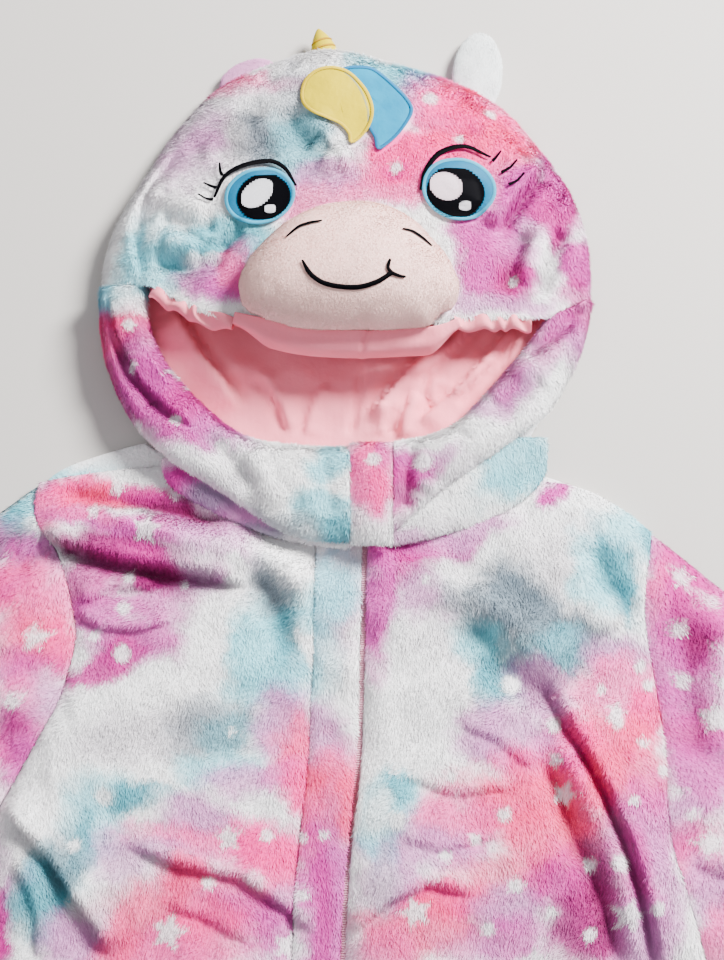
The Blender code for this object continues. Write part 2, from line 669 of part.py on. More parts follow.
def make_back(side, rows):
    places = row_places(rows)
    sign = -1.0 if side == "left" else 1.0
    seam = sign * 0.5 * GAP
    inseam = front_inner(rows)
    inner = []
    for k, row in enumerate(rows):
        inner.append((seam, row["back_y"]) if k < CROTCH else (inseam[k][0], row["back_y"]))
    inner[CROTCH] = (seam + sign * 2.0, rows[CROTCH]["back_y"])
    inner = np.stack([np.interp(places, range(len(rows)), np.array(inner)[:, k])
                      for k in (0, 1)], axis=1)
    inner[:, 0] = np.maximum(inner[:, 0] * sign, 0.5 * GAP) * sign
    outer = at_rows(table_path(rows, "out_x out_y"), places)
    edge = table_path(BACK_TOP[side], "x y")
    share = edge[:, 0] / edge[-1, 0]
    plan = []
    for place, a, b in zip(places, inner, outer):
        fade = 1.0 - ease(place / 4.0)
        row = []
        for u in ACROSS_BACK:
            straight = inner[0] + (outer[0] - inner[0]) * u
            wanted = np.array([np.interp(u, share, edge[:, 0]), np.interp(u, share, edge[:, 1])])
            row.append(a + (b - a) * u + (wanted - straight) * fade * (u > 0))
        plan.append(row)

    def top(x, y, r, c):
        return PLUSH

    finish = "plush_magenta" if side == "left" else "plush_pink"
    return panel("back_" + side, finish, plan, top, PLUSH)


def make_sleeve(size):
    side = size["side"]
    rows, underarm = (LEFT_ROWS, LEFT_UNDERARM) if side == "left" else (RIGHT_ROWS, RIGHT_UNDERARM)
    sign = -1.0 if side == "left" else 1.0
    places = [place for place in row_places(rows) if place <= underarm]
    armhole = at_rows(table_path(rows, "out_x out_y"), places) + (sign * GAP * 1.4, 0)
    cuff_top = np.array([size["cuff_top_x"], size["cuff_top_y"]], dtype=float)
    cuff_low = np.array([size["cuff_low_x"], size["cuff_low_y"]], dtype=float)
    normal = cuff_top - cuff_low
    normal /= np.linalg.norm(normal)
    outer_rings, inner_rings = [], []
    last = len(places) - 1
    for k in range(SLEEVE_ROWS):
        s = k / (SLEEVE_ROWS - 1)
        upper, inside, under, under_inside = [], [], [], []
        for c, u in enumerate(np.array(places) / underarm):
            place = armhole[c] + (cuff_top + (cuff_low - cuff_top) * u - armhole[c]) * s
            place = place + normal * size["bow"] * math.sin(math.pi * s) * (1.0 - u) ** 2
            width = np.linalg.norm(armhole[-1] - armhole[0]) * (1 - s) + 116.0 * s
            edge = min(u, 1.0 - u) * width
            mid = SLEEVE_MID + (SLEEVE_CUFF - SLEEVE_MID) * ease((s - 0.6) / 0.4)
            high = SLEEVE_EDGE + (mid - SLEEVE_EDGE) * round_edge(edge, 34.0)
            high += fold_height(place[0], place[1], SLEEVE_FOLDS) * ease(edge / 14) * ease(s / 0.12)
            high = arm_top(u) + (max(high, 9.0) - arm_top(u)) * ease(s / 0.22)
            if c in (0, last):
                toward = (armhole[-1] - armhole[0]) * (1 - s) + (cuff_low - cuff_top) * s
                toward = toward / np.linalg.norm(toward) * (1.0 if c == 0 else -1.0)
                upper.append((*place, 0.5 * SLEEVE_EDGE))
                inside.append((*(place + toward * SLEEVE_TURN), 0.5 * SLEEVE_EDGE))
            else:
                upper.append((*place, high))
                inside.append((*place, high - PLUSH))
                under.append((*place, 0.0))
                under_inside.append((*place, PLUSH))
        outer_rings.append(upper + under[::-1])
        inner_rings.append(inside + under_inside[::-1])
    finish = "plush_teal" if side == "left" else "plush_magenta"
    return loft("sleeve_" + side, finish, outer_rings, inner_rings, ring=True)


def make_zip():
    """The placket strip beside the zip, the zip itself in its valley, and its slider."""
    ys = np.linspace(-3, -644, 20)
    plan = []
    for y in ys:
        wide = PLACKET_WIDTH + np.interp(-y, (520, 590, 644), (0, -5.5, -24.5))
        right = zip_x(y) - ZIP_VALLEY
        plan.append([(right - wide * u, y) for u in (0, 0.14, 0.5, 0.86, 1)])

    def top(x, y, r, c):
        return 9.0 + 2.4 * math.sin(math.pi * c / 4.0) ** 0.5 + 0.5 * math.sin(y / 23.0)

    panel("zip_placket", "plush_pink", plan, top, PLUSH)

    plan = [[(zip_x(y) + x, y) for x in (-5.0, -1.2, 1.2, 5.0)] for y in np.linspace(18, -600, 20)]

    def tape_top(x, y, r, c):
        return 5.4 if c in (1, 2) else 4.6

    panel("zip_tape", "zip_rose", plan, tape_top, 1.0)


def make_slider():
    bpy.ops.mesh.primitive_cube_add(size=1.0)
    body = bpy.context.object
    body.name = "zip_slider"
    body.scale = (7.5 * MM, 10.0 * MM, 4.2 * MM)
    body.location = (zip_x(8.0) * MM, 8.0 * MM, 8.6 * MM)
    bpy.ops.object.transform_apply(location=True, rotation=True, scale=True)
    rounding = body.modifiers.new("rounding", "BEVEL")
    rounding.width = 1.2 * MM
    rounding.segments = 2
    body.data.materials.append(material("zip_rose"))
    for collection in list(body.users_collection):
        collection.objects.unlink(body)
    PARTS.objects.link(body)


# ---------------------------------------------------------------- hood


def make_hood_back():
    """Half of the hood that lies on the table, from the crown to the back neck seam."""
    low = BACK_TOP["left"][0]["y"] + GAP
    high = HOOD_Y + 159.0
    plan = []
    for k in range(HOOD_BACK_ROWS + 1):
        y = low + (high - low - 0.6) * math.sin(0.5 * math.pi * k / HOOD_BACK_ROWS)
        left, right = hood_edges(y)
        row = []
        for x in np.linspace(left, right, HOOD_BACK_ACROSS + 1):
            notch = HORN_NOTCH * math.exp(-((x - HORN_ARCH_X) / HORN_ROOM) ** 2)
            row.append((x, y - notch * ease((y - 250.0) / 60.0)))
        plan.append(row)
    panel("hood_back", "plush_white", plan, lambda x, y, r, c: PLUSH, PLUSH)


def hood_edges(y):
    """Left and right ends of the hood's outline at a height up the garment."""
    found = []
    for first, last in ((222.0, 90.0), (-42.0, 90.0)):
        angles = np.linspace(first, last, 200)
        points = np.array([outline_point(HOOD_X, HOOD_Y, HOOD_OUTLINE, a) for a in angles])
        found.append(float(np.interp(y, points[:, 1], points[:, 0])))
    return found[0] + HOOD_BACK_INSET, found[1] - HOOD_BACK_INSET


def make_face():
    """The hood's front, ruled from the crown's outline down to the brim, and its lining."""
    angles = np.linspace(FACE_LEFT_ANGLE, FACE_RIGHT_ANGLE, FACE_COLUMNS)
    crown = [outline_point(HOOD_X, HOOD_Y, HOOD_OUTLINE, a) for a in angles]
    brim = smooth_path(table_path(BRIM, "x y"), FACE_COLUMNS)
    plan = [[a + (b - a) * t for a, b in zip(crown, brim)] for t in FACE_ROWS]
    face = panel("hood_face", "plush_white", plan, lambda x, y, r, c: hood_height(x, y), PLUSH)
    inside = [row[1:-1] for row in plan[FACE_LINING_FIRST:]]
    panel("face_lining", "lining_pink", inside,
          lambda x, y, r, c: hood_height(x, y) - PLUSH - 0.8, LINING)
    return surface_of(face)


def edge_roll(name, finish, path, section, thickness):
    """Rolls a section over an edge: out is square to the edge in plan, drop is from the plush."""
    along = np.gradient(path, axis=0)
    outward = np.stack([along[:, 1], -along[:, 0]], axis=1)
    outward /= np.linalg.norm(outward, axis=1, keepdims=True)
    rows = []
    for place, out in zip(path, outward):
        top = hood_base(*place)
        rows.append([(*(place + out * knot["out"]), top - knot["drop"]) for knot in section])
    return strip(name, finish, rows, thickness)


def make_brim():
    brim = smooth_path(table_path(BRIM, "x y"), 60)
    left = brim[(brim[:, 0] > -134) & (brim[:, 0] < -82.5)]
    right = brim[(brim[:, 0] > 62.5) & (brim[:, 0] < 115)]
    edge_roll("brim_lining_left", "lining_pink", left[::2], BRIM_SECTION, LINING)
    edge_roll("brim_lining_right", "lining_pink", right[::2], BRIM_SECTION, LINING)


def make_rim(name, finish, rows):
    """A rolled side of the face opening: an arch of plush from its outer to its inner edge."""
    outer = smooth_path(table_path(rows, "out_x out_y out_z"), RIM_ROWS)
    inner = smooth_path(table_path(rows, "in_x in_y in_z"), RIM_ROWS)
    top = column(rows, "top").max()
    grid = []
    for a, b in zip(outer, inner):
        row = []
        for c in range(RIM_SECTION):
            u = c / (RIM_SECTION - 1)
            turn = math.pi * u
            place = a[:2] + (b[:2] - a[:2]) * (0.5 - 0.5 * math.cos(turn))
            base = a[2] + (b[2] - a[2]) * u
            arch = math.sin(turn) ** 0.75
            height = base + (top - base) * arch
            height += fold_height(place[0], place[1], RIM_FOLDS) * arch ** 2
            row.append((*place, height))
        grid.append(row)
    strip(name, finish, grid, PLUSH)


def make_neck(name, finish, rows):
    outer = smooth_path(table_path(rows, "out_x out_y"), NECK_ROWS)
    inner = smooth_path(table_path(rows, "in_x in_y"), NECK_ROWS)
    plan = [[a + (b - a) * (c / (NECK_SECTION - 1)) ** 1.5 for c in range(NECK_SECTION)]
            for a, b in zip(outer, inner)]

    def top(x, y, r, c):
        return NECK_LOW + PLUSH + (NECK_TOP - NECK_LOW - PLUSH) * math.sin(
            0.5 * math.pi * c / (NECK_SECTION - 1)) ** 0.7

    panel(name, finish, plan, top, PLUSH)


def make_flap():
    plan = [[(x, y) for x in np.linspace(FLAP_LEFT, FLAP_RIGHT, 6)]
            for y in np.linspace(FLAP_LOW, FLAP_HIGH, 9)]

    def top(x, y, r, c):
        across = abs(2.0 * c / 5.0 - 1.0)
        along = abs(2.0 * r / 8.0 - 1.0)
        return FLAP_TOP - 5.0 * across ** 2.5 - 9.0 * along ** 4

    panel("neck_flap", "plush_pink", plan, top, PLUSH)


def make_hood_lining():
    plan = []
    for k in range(LINING_ROWS):
        y = LINING_LOW_Y + (LINING_HIGH_Y - LINING_LOW_Y) * k / (LINING_ROWS - 1)
        half = math.sqrt(LINING_RADIUS ** 2 - (y - HOOD_Y) ** 2)
        plan.append([(HOOD_X - half + 2 * half * c / (LINING_COLUMNS - 1), y)
                     for c in range(LINING_COLUMNS)])

    def top(x, y, r, c):
        share = math.hypot(x - HOOD_X, y - HOOD_Y) / LINING_RADIUS
        rim = LINING_RISE * ease((share - 0.55) / 0.45)
        folds = max(0.0, fold_height(x, y, LINING_FOLDS)) * (1.0 - ease((share - 0.82) / 0.16))
        return LINING_FLOOR + rim + folds

    panel("hood_lining", "lining_pink", plan, top, LINING)


# ---------------------------------------------------------------- trim


def make_muzzle():
    """The padded muzzle, from rings that shrink to its middle, and the lining strip under it."""
    first, last = MUZZLE_OUTLINE[0]["angle"], MUZZLE_OUTLINE[0]["angle"] + 360
    angles = np.linspace(first, last, MUZZLE_COLUMNS, endpoint=False)
    closed = MUZZLE_OUTLINE + [{"angle": last, "radius": MUZZLE_OUTLINE[0]["radius"]}]
    centre = np.array([MUZZLE_X, MUZZLE_Y])
    outline = [outline_point(MUZZLE_X, MUZZLE_Y, closed, a) for a in angles]
    top, low = [], []
    for share in MUZZLE_RINGS:
        rise = MUZZLE_SIDE + MUZZLE_RISE * (1.0 - share ** 2.3) ** 0.6
        places = [centre + (point - centre) * share for point in outline]
        top.append([(x, y, hood_base(x, y) + MUZZLE_LIFT + rise) for x, y in places])
        low.append([(x, y, hood_base(x, y) + MUZZLE_LIFT) for x, y in places])
    muzzle = loft("muzzle", "muzzle_pink", top, low, ring=True)
    edge = smooth_path(table_path(UNDER_EDGE, "x y"), 15)
    edge_roll("muzzle_under", "lining_pink", edge, UNDER_SECTION, LINING)
    return surface_of(muzzle)


def make_eyes(surface):
    finishes = ("satin_blue", "thread_black", "satin_white")
    for eye in EYES:
        turn = math.radians(eye["tilt"])
        centre = np.array([eye["x"], eye["y"]])
        count = 18 if eye["wide"] > 6 else 10
        outline = []
        for k in range(count):
            a = 2 * math.pi * k / count
            u, v = eye["wide"] * math.cos(a), eye["high"] * math.sin(a)
            outline.append(centre + (u * math.cos(turn) - v * math.sin(turn),
                                     u * math.sin(turn) + v * math.cos(turn)))
        low = LIFT + eye["level"] * LEVEL
        disc(eye["name"], finishes[eye["level"]], outline, centre, surface, low, low + SATIN,
             rings=(0, 0.5, 1))


def make_lines(surfaces):
    for line in LINES:
        points = [(line["x%d" % k], line["y%d" % k]) for k in (1, 2, 3, 4)]
        lift = LIFT + (LEVEL if line["name"].endswith("lid") else 0.0)
        long = sum(math.dist(a, b) for a, b in zip(points, points[1:]))
        ribbon(line["name"], "thread_black", points, line["width"], surfaces[line["on"]],
               lift, lift + EMBROIDERY, max(4, round(long / 4.5)))


def make_forelock(surface):
    for level, (name, points) in enumerate(FORELOCK.items()):
        outline = smooth_path(table_path(points, "x y"), 26, closed=True)
        centre = outline.mean(axis=0)
        finish = "satin_blue" if "blue" in name else "satin_yellow"
        low = LIFT + level * LEVEL
        disc(name, finish, outline, centre, surface, low, low + SATIN)


def make_horn():
    turn, tilt = math.radians(HORN_TURN), math.radians(HORN_TILT)
    axis = np.array([math.cos(turn) * math.cos(tilt), math.sin(turn) * math.cos(tilt),
                     math.sin(tilt)])
    side = np.array([-math.sin(turn), math.cos(turn), 0.0])
    up = np.cross(axis, side)
    base = np.array([HORN_X, HORN_Y, HORN_Z])
    rows = []
    for knot in HORN:
        middle = base + axis * knot["along"]
        rows.append([middle + knot["radius"] * (side * math.cos(a) + up * math.sin(a))
                     for a in np.linspace(0, 2 * math.pi, 14, endpoint=False)])
    solid_of_rings("horn", "satin_yellow", rows)


def solid_of_rings(name, finish, rings):
    """A closed solid lofted through rings, capped at both ends."""
    rings = np.asarray(rings, dtype=float)
    count, sides = rings.shape[:2]
    points = (rings.reshape(-1, 3) * MM).tolist()
    faces = [(r * sides + c, r * sides + (c + 1) % sides, (r + 1) * sides + (c + 1) % sides,
              (r + 1) * sides + c) for r in range(count - 1) for c in range(sides)]
    faces.append(tuple(reversed(range(sides))))
    faces.append(tuple(range((count - 1) * sides, count * sides)))
    mesh = bpy.data.meshes.new(name)
    mesh.from_pydata(points, [], faces)
    return finish_mesh(name, finish, mesh)


def make_ears():
    """Leaf-shaped stuffed ears that lie on the table behind the crown."""
    for ear in EARS:
        turn = math.radians(ear["turn"])
        axis = np.array([math.cos(turn), math.sin(turn)])
        rings = []
        for s in np.linspace(0, 1, 7):
            belly = 1.0 + EAR_BELLY * math.sin(math.pi * s)
            half = ear["wide"] * (1.0 - 0.97 * s ** EAR_ROUND) * belly
            thick = ear["thick"] * (1.0 - EAR_TAPER * s ** 2)
            swing = ear["turn"] - 90 - ear["base_turn"]
            turn = math.radians(ear["base_turn"] + swing * ease(s / EAR_SWING))
            side = np.array([math.cos(turn), math.sin(turn)])
            ring = []
            for a in np.linspace(0, 2 * math.pi, 12, endpoint=False):
                place = axis * ear["long"] * s + side * half * math.cos(a)
                place = place + (ear["x"], ear["y"])
                ring.append((*place, 0.5 * thick + 0.5 * thick * math.sin(a)))
            rings.append(ring)
        solid_of_rings(ear["name"], "plush_white" if "right" in ear["name"] else "plush_pink", rings)


# ---------------------------------------------------------------- build


def clear_scene():
    for old in list(bpy.data.objects):
        bpy.data.objects.remove(old, do_unlink=True)


def centre_on_origin():
    """Moves every mesh so that the origin is at the bottom centre of the whole box."""
    corners = np.array([vertex.co for made in PARTS.objects for vertex in made.data.vertices])
    low, high = corners.min(axis=0), corners.max(axis=0)
    shift = (-(low[0] + high[0]) / 2, -(low[1] + high[1]) / 2, -low[2])
    for made in PARTS.objects:
        for vertex in made.data.vertices:
            vertex.co.x += shift[0]
            vertex.co.y += shift[1]
            vertex.co.z += shift[2]
    print("origin moved by", [round(value * 1000, 2) for value in shift])


clear_scene()
PARTS = bpy.data.collections.new("unicorn_onesie")
bpy.context.scene.collection.children.link(PARTS)

make_back("left", LEFT_ROWS)
make_back("right", RIGHT_ROWS)
make_front("left", LEFT_ROWS, LEFT_UNDERARM)
make_front("right", RIGHT_ROWS, RIGHT_UNDERARM)
for sleeve in SLEEVES:
    make_sleeve(sleeve)
make_zip()
make_slider()
make_hood_back()
make_hood_lining()
face_surface = make_face()
make_brim()
make_rim("rim_left", "plush_magenta", RIM_LEFT)
make_rim("rim_right", "plush_pink", RIM_RIGHT)
make_neck("neck_left", "plush_white", NECK_LEFT)
make_neck("neck_right", "plush_teal", NECK_RIGHT)
make_flap()
muzzle_surface = make_muzzle()
make_eyes(face_surface)
make_lines({"hood": face_surface, "muzzle": muzzle_surface})
make_forelock(face_surface)
make_horn()
make_ears()
centre_on_origin()
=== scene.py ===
import math

import bmesh
import bpy
import numpy as np
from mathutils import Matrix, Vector
from mathutils.bvhtree import BVHTree


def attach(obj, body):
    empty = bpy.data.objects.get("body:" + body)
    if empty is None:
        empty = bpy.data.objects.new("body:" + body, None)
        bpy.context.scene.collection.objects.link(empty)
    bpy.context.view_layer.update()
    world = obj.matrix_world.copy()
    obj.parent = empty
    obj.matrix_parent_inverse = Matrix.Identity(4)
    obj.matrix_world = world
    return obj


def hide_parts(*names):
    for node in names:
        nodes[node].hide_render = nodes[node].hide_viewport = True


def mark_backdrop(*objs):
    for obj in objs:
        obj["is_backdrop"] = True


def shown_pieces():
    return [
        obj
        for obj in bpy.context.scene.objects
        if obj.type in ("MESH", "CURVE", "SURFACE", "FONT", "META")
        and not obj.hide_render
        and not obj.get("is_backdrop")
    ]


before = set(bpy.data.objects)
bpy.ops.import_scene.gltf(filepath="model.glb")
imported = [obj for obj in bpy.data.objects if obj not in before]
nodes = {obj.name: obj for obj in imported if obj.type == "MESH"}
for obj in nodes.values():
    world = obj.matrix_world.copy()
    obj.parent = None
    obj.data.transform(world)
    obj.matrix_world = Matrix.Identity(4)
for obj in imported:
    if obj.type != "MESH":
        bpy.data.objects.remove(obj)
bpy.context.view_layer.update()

chance = np.random.default_rng(11)

# Tables are in millimetres from the centre-front neck seam; z is up from the table top.
mm = 0.001
neckY = 351.25
# Past these lines, on the legs and the sleeves, the plush is coarser and its pile is flatter.
viewLow, viewSide = -300.0, 250.0


def say(stage):
    print("stage:", stage, flush=True)


def smoothStep(low, high, value):
    t = np.clip((value - low) / (high - low), 0, 1)
    return t * t * (3 - 2 * t)


def softNoise(x, y, size, seed):
    # smooth random values from -1 to 1, the same at the same place
    cells = 128  # the values repeat after this many cells each way
    grid = np.random.default_rng(seed).random((cells, cells)) * 2 - 1
    u, v = x / size + 60.3, y / size + 60.7
    i, j = np.floor(u).astype(int), np.floor(v).astype(int)
    f, g = u - i, v - j
    f, g = f * f * (3 - 2 * f), g * g * (3 - 2 * g)
    i, j, k, m = i % cells, j % cells, (i + 1) % cells, (j + 1) % cells
    near = grid[i, j] * (1 - f) + grid[k, j] * f
    far = grid[i, m] * (1 - f) + grid[k, m] * f
    return near * (1 - g) + far * g


def turned(x, y, degrees):
    c, s = math.cos(math.radians(degrees)), math.sin(math.radians(degrees))
    return x * c - y * s, x * s + y * c


def lineDistance(x, y, points):
    # signed distance to a line of points, and how far along it each place is, from 0 to 1
    best = np.full(x.shape, 1e9)
    signed, along = best.copy(), np.zeros(x.shape)
    steps = [math.dist(a, b) for a, b in zip(points, points[1:])]
    done = 0.0
    for (ax, ay), (bx, by), step in zip(points, points[1:], steps):
        ux, uy = (bx - ax) / step, (by - ay) / step
        t = np.clip((x - ax) * ux + (y - ay) * uy, 0, step)
        gap = np.hypot(x - ax - t * ux, y - ay - t * uy)
        side = np.sign((x - ax) * -uy + (y - ay) * ux)
        closer = gap < best
        best = np.where(closer, gap, best)
        signed = np.where(closer, gap * side, signed)
        along = np.where(closer, (done + t) / sum(steps), along)
        done += step
    return signed, along


def readRows(text):
    # a table's rows are parted by semicolons or line ends, and their values by spaces
    rows = [row.split() for row in text.replace("\n", ";").split(";")]
    return [[word if word.isalpha() else float(word) for word in row] for row in rows if row]


def readFolds(text):
    # each fold: height, width, side, then its line; side is 0 for a ridge or a valley, and 1 or
    # -1 if the cloth on one side of the line lies over the other
    return [(*row[:3], *zip(row[3::2], row[4::2])) for row in readRows(text)]


def foldHeight(x, y, folds):
    total = np.zeros(x.shape)
    for height, width, side, *points in folds:
        gap, along = lineDistance(x, y, points)
        if side:  # the upper cloth slopes off away from its edge, and the lower one dips
            over = gap * side
            part = height * (np.exp(-np.maximum(over, 0) / width) * smoothStep(-1.6, 1.8, over)
                             - 0.35 * np.exp(-((over + 3.5) / 4.5) ** 2))
        else:
            part = height * np.exp(-(gap / width) ** 2)
        total += part * smoothStep(0, 0.16, along) * smoothStep(1, 0.84, along)
    return total


# Folds of the fronts, sleeves and placket, of the hood's face, and of its rims.
bodyFolds = readFolds("""
8 10 0 -176 20 -140 4 -100 -6 -66 -14 -40 -30 -14 -42; -8 7 0 -198 26 -149 17 -107 9 -84 6
16 20 1 -212 2 -193 -8 -157 -17 -121 -24 -92 -28 -70 -36; 4 14 1 -180 -46 -157 -36 -130 -34
4 12 1 -184 -50 -164 -61 -142 -63 -116 -56; -6 10 0 -70 -26 -54 -52 -42 -82
2.5 18 0 -202 -146 -173 -143 -152 -150 -138 -156; 2 14 0 -186 -114 -158 -110 -128 -108
11 18 1 -224 -170 -204 -190 -190 -204 -177 -224 -164 -242 -152 -264
4 12 1 -216 -204 -204 -222 -198 -242 -198 -264
8 16 1 -146 -194 -109 -207 -72 -215 -47 -232 -26 -250; 3 12 1 -120 -230 -92 -240 -66 -256
5 12 1 -8 -250 18 -228 41 -218 70 -224
13 15 1 114 -88 126 -112 137 -132 146 -148 156 -168 164 -190 171 -214 177 -238 184 -280
8 9 0 120 -122 134 -150 146 -178 156 -206 164 -236 172 -276
-9 7 0 110 -136 123 -166 131 -192 141 -212 150 -236 158 -275; -6 7 0 146 -8 156 -32 176 -56
5 16 0 134 -14 142 -40 160 -64; -10 12 0 66 -54 87 -85 108 -100 126 -110
4 14 0 70 -30 100 -62 130 -84; -3 9 0 50 -16 84 -32 118 -50; 3 14 0 34 -10 60 -36 84 -66
3 12 1 26 -152 56 -164 96 -160; 2.5 10 1 22 -190 48 -198 84 -190; 3 12 1 60 -120 84 -130 108 -150
-4 8 0 216 -56 206 -100 210 -150; 4 10 1 204 -204 222 -212 248 -214
5 14 0 228 -40 222 -90 226 -150; -4 8 0 -240 -8 -218 -18 -204 -24
-3 8 0 -246 -120 -226 -134 -214 -150; -5 16 0 -120 -330 -90 -420 -100 -520 -80 -640
-5 16 0 110 -330 90 -420 110 -540 90 -660; 4 18 0 -150 -560 -130 -660 -150 -780
5 18 1 -170 -820 -130 -850 -90 -840; 5 18 1 160 -800 120 -830 80 -820
""")
hoodFolds = readFolds("""
5 14 1 -142 158 -147 178 -150 198 -146 214 -136 234 -120 256; 13 18 1 84 190 92 202 106 222 122 244
-8 7 0 106 196 97 170 90 148; -10 7 0 131 200 125 176 113 150; 6 7 0 119 200 111 178 103 156
-5.5 5 0 -136 174 -112 167 -84 170; 4 7 0 -130 184 -104 180 -88 182
4 10 1 -116 196 -100 186 -80 186; -4 8 0 -100 246 -70 252 -42 246
-8 9 0 -50 280 -44 262 -34 248 -20 238; 6 9 0 -34 252 -22 240 -8 232; 4 12 1 -30 262 -14 240 -8 222
-3 9 0 -116 248 -86 268 -60 280; -3.5 8 0 98 260 84 278 60 294; 5 9 0 -142 226 -120 214 -98 208
-6 7 0 -132 204 -112 196 -92 194; -7 7 0 -110 176 -88 182 -72 192; -3 6 0 38 264 56 257 76 264
-3.5 7 0 -150 200 -136 208 -124 224
""")
rimFolds = readFolds("""
8 14 1 -164 156 -156 122 -142 96 -124 78 -104 64; -4 7 0 -158 128 -148 100 -128 78
-4 7 0 -100 60 -84 44 -66 24; -3 7 0 -62 46 -50 26 -38 6; 3 9 0 -74 50 -60 34 -48 14
-3 6 0 -26 48 -22 28 -18 6; -5 6 0 144 148 128 128 104 112; 4 8 0 140 132 120 112 96 96
-4 7 0 118 96 96 82 80 74; -3 7 0 68 64 52 44 38 28; -5 5 0 33 58 29 36 26 10
3 8 0 62 62 54 46 40 22
""")
foldTables = {"hood": hoodFolds, "rimL": rimFolds, "rimR": rimFolds}
for group in ("frontL", "frontR", "placket", "sleeveL", "sleeveR"):
    foldTables[group] = bodyFolds

# The dark grey-blue and the dark purple colours are painted shade: the grey-blue is the white and
# aqua cloth in shade, the purple is the magenta print in shade, and their clouds lie in fold
# valleys and under the forelocks and rims.
dyesAndShades = {
    "white": (0.97, 0.96, 0.97), "pearl": (0.78, 0.75, 0.78), "mist": (0.26, 0.32, 0.37),
    "aqua": (0.38, 0.76, 0.83), "teal": (0.17, 0.50, 0.58), "lilac": (0.72, 0.36, 0.64),
    "orchid": (0.72, 0.12, 0.52), "magenta": (0.66, 0.03, 0.40), "purple": (0.42, 0.01, 0.24),
    "pink": (0.97, 0.20, 0.53), "rose": (0.97, 0.10, 0.35), "hot": (1.0, 0.06, 0.44),
}
motifWhite = (0.93, 0.91, 0.93)
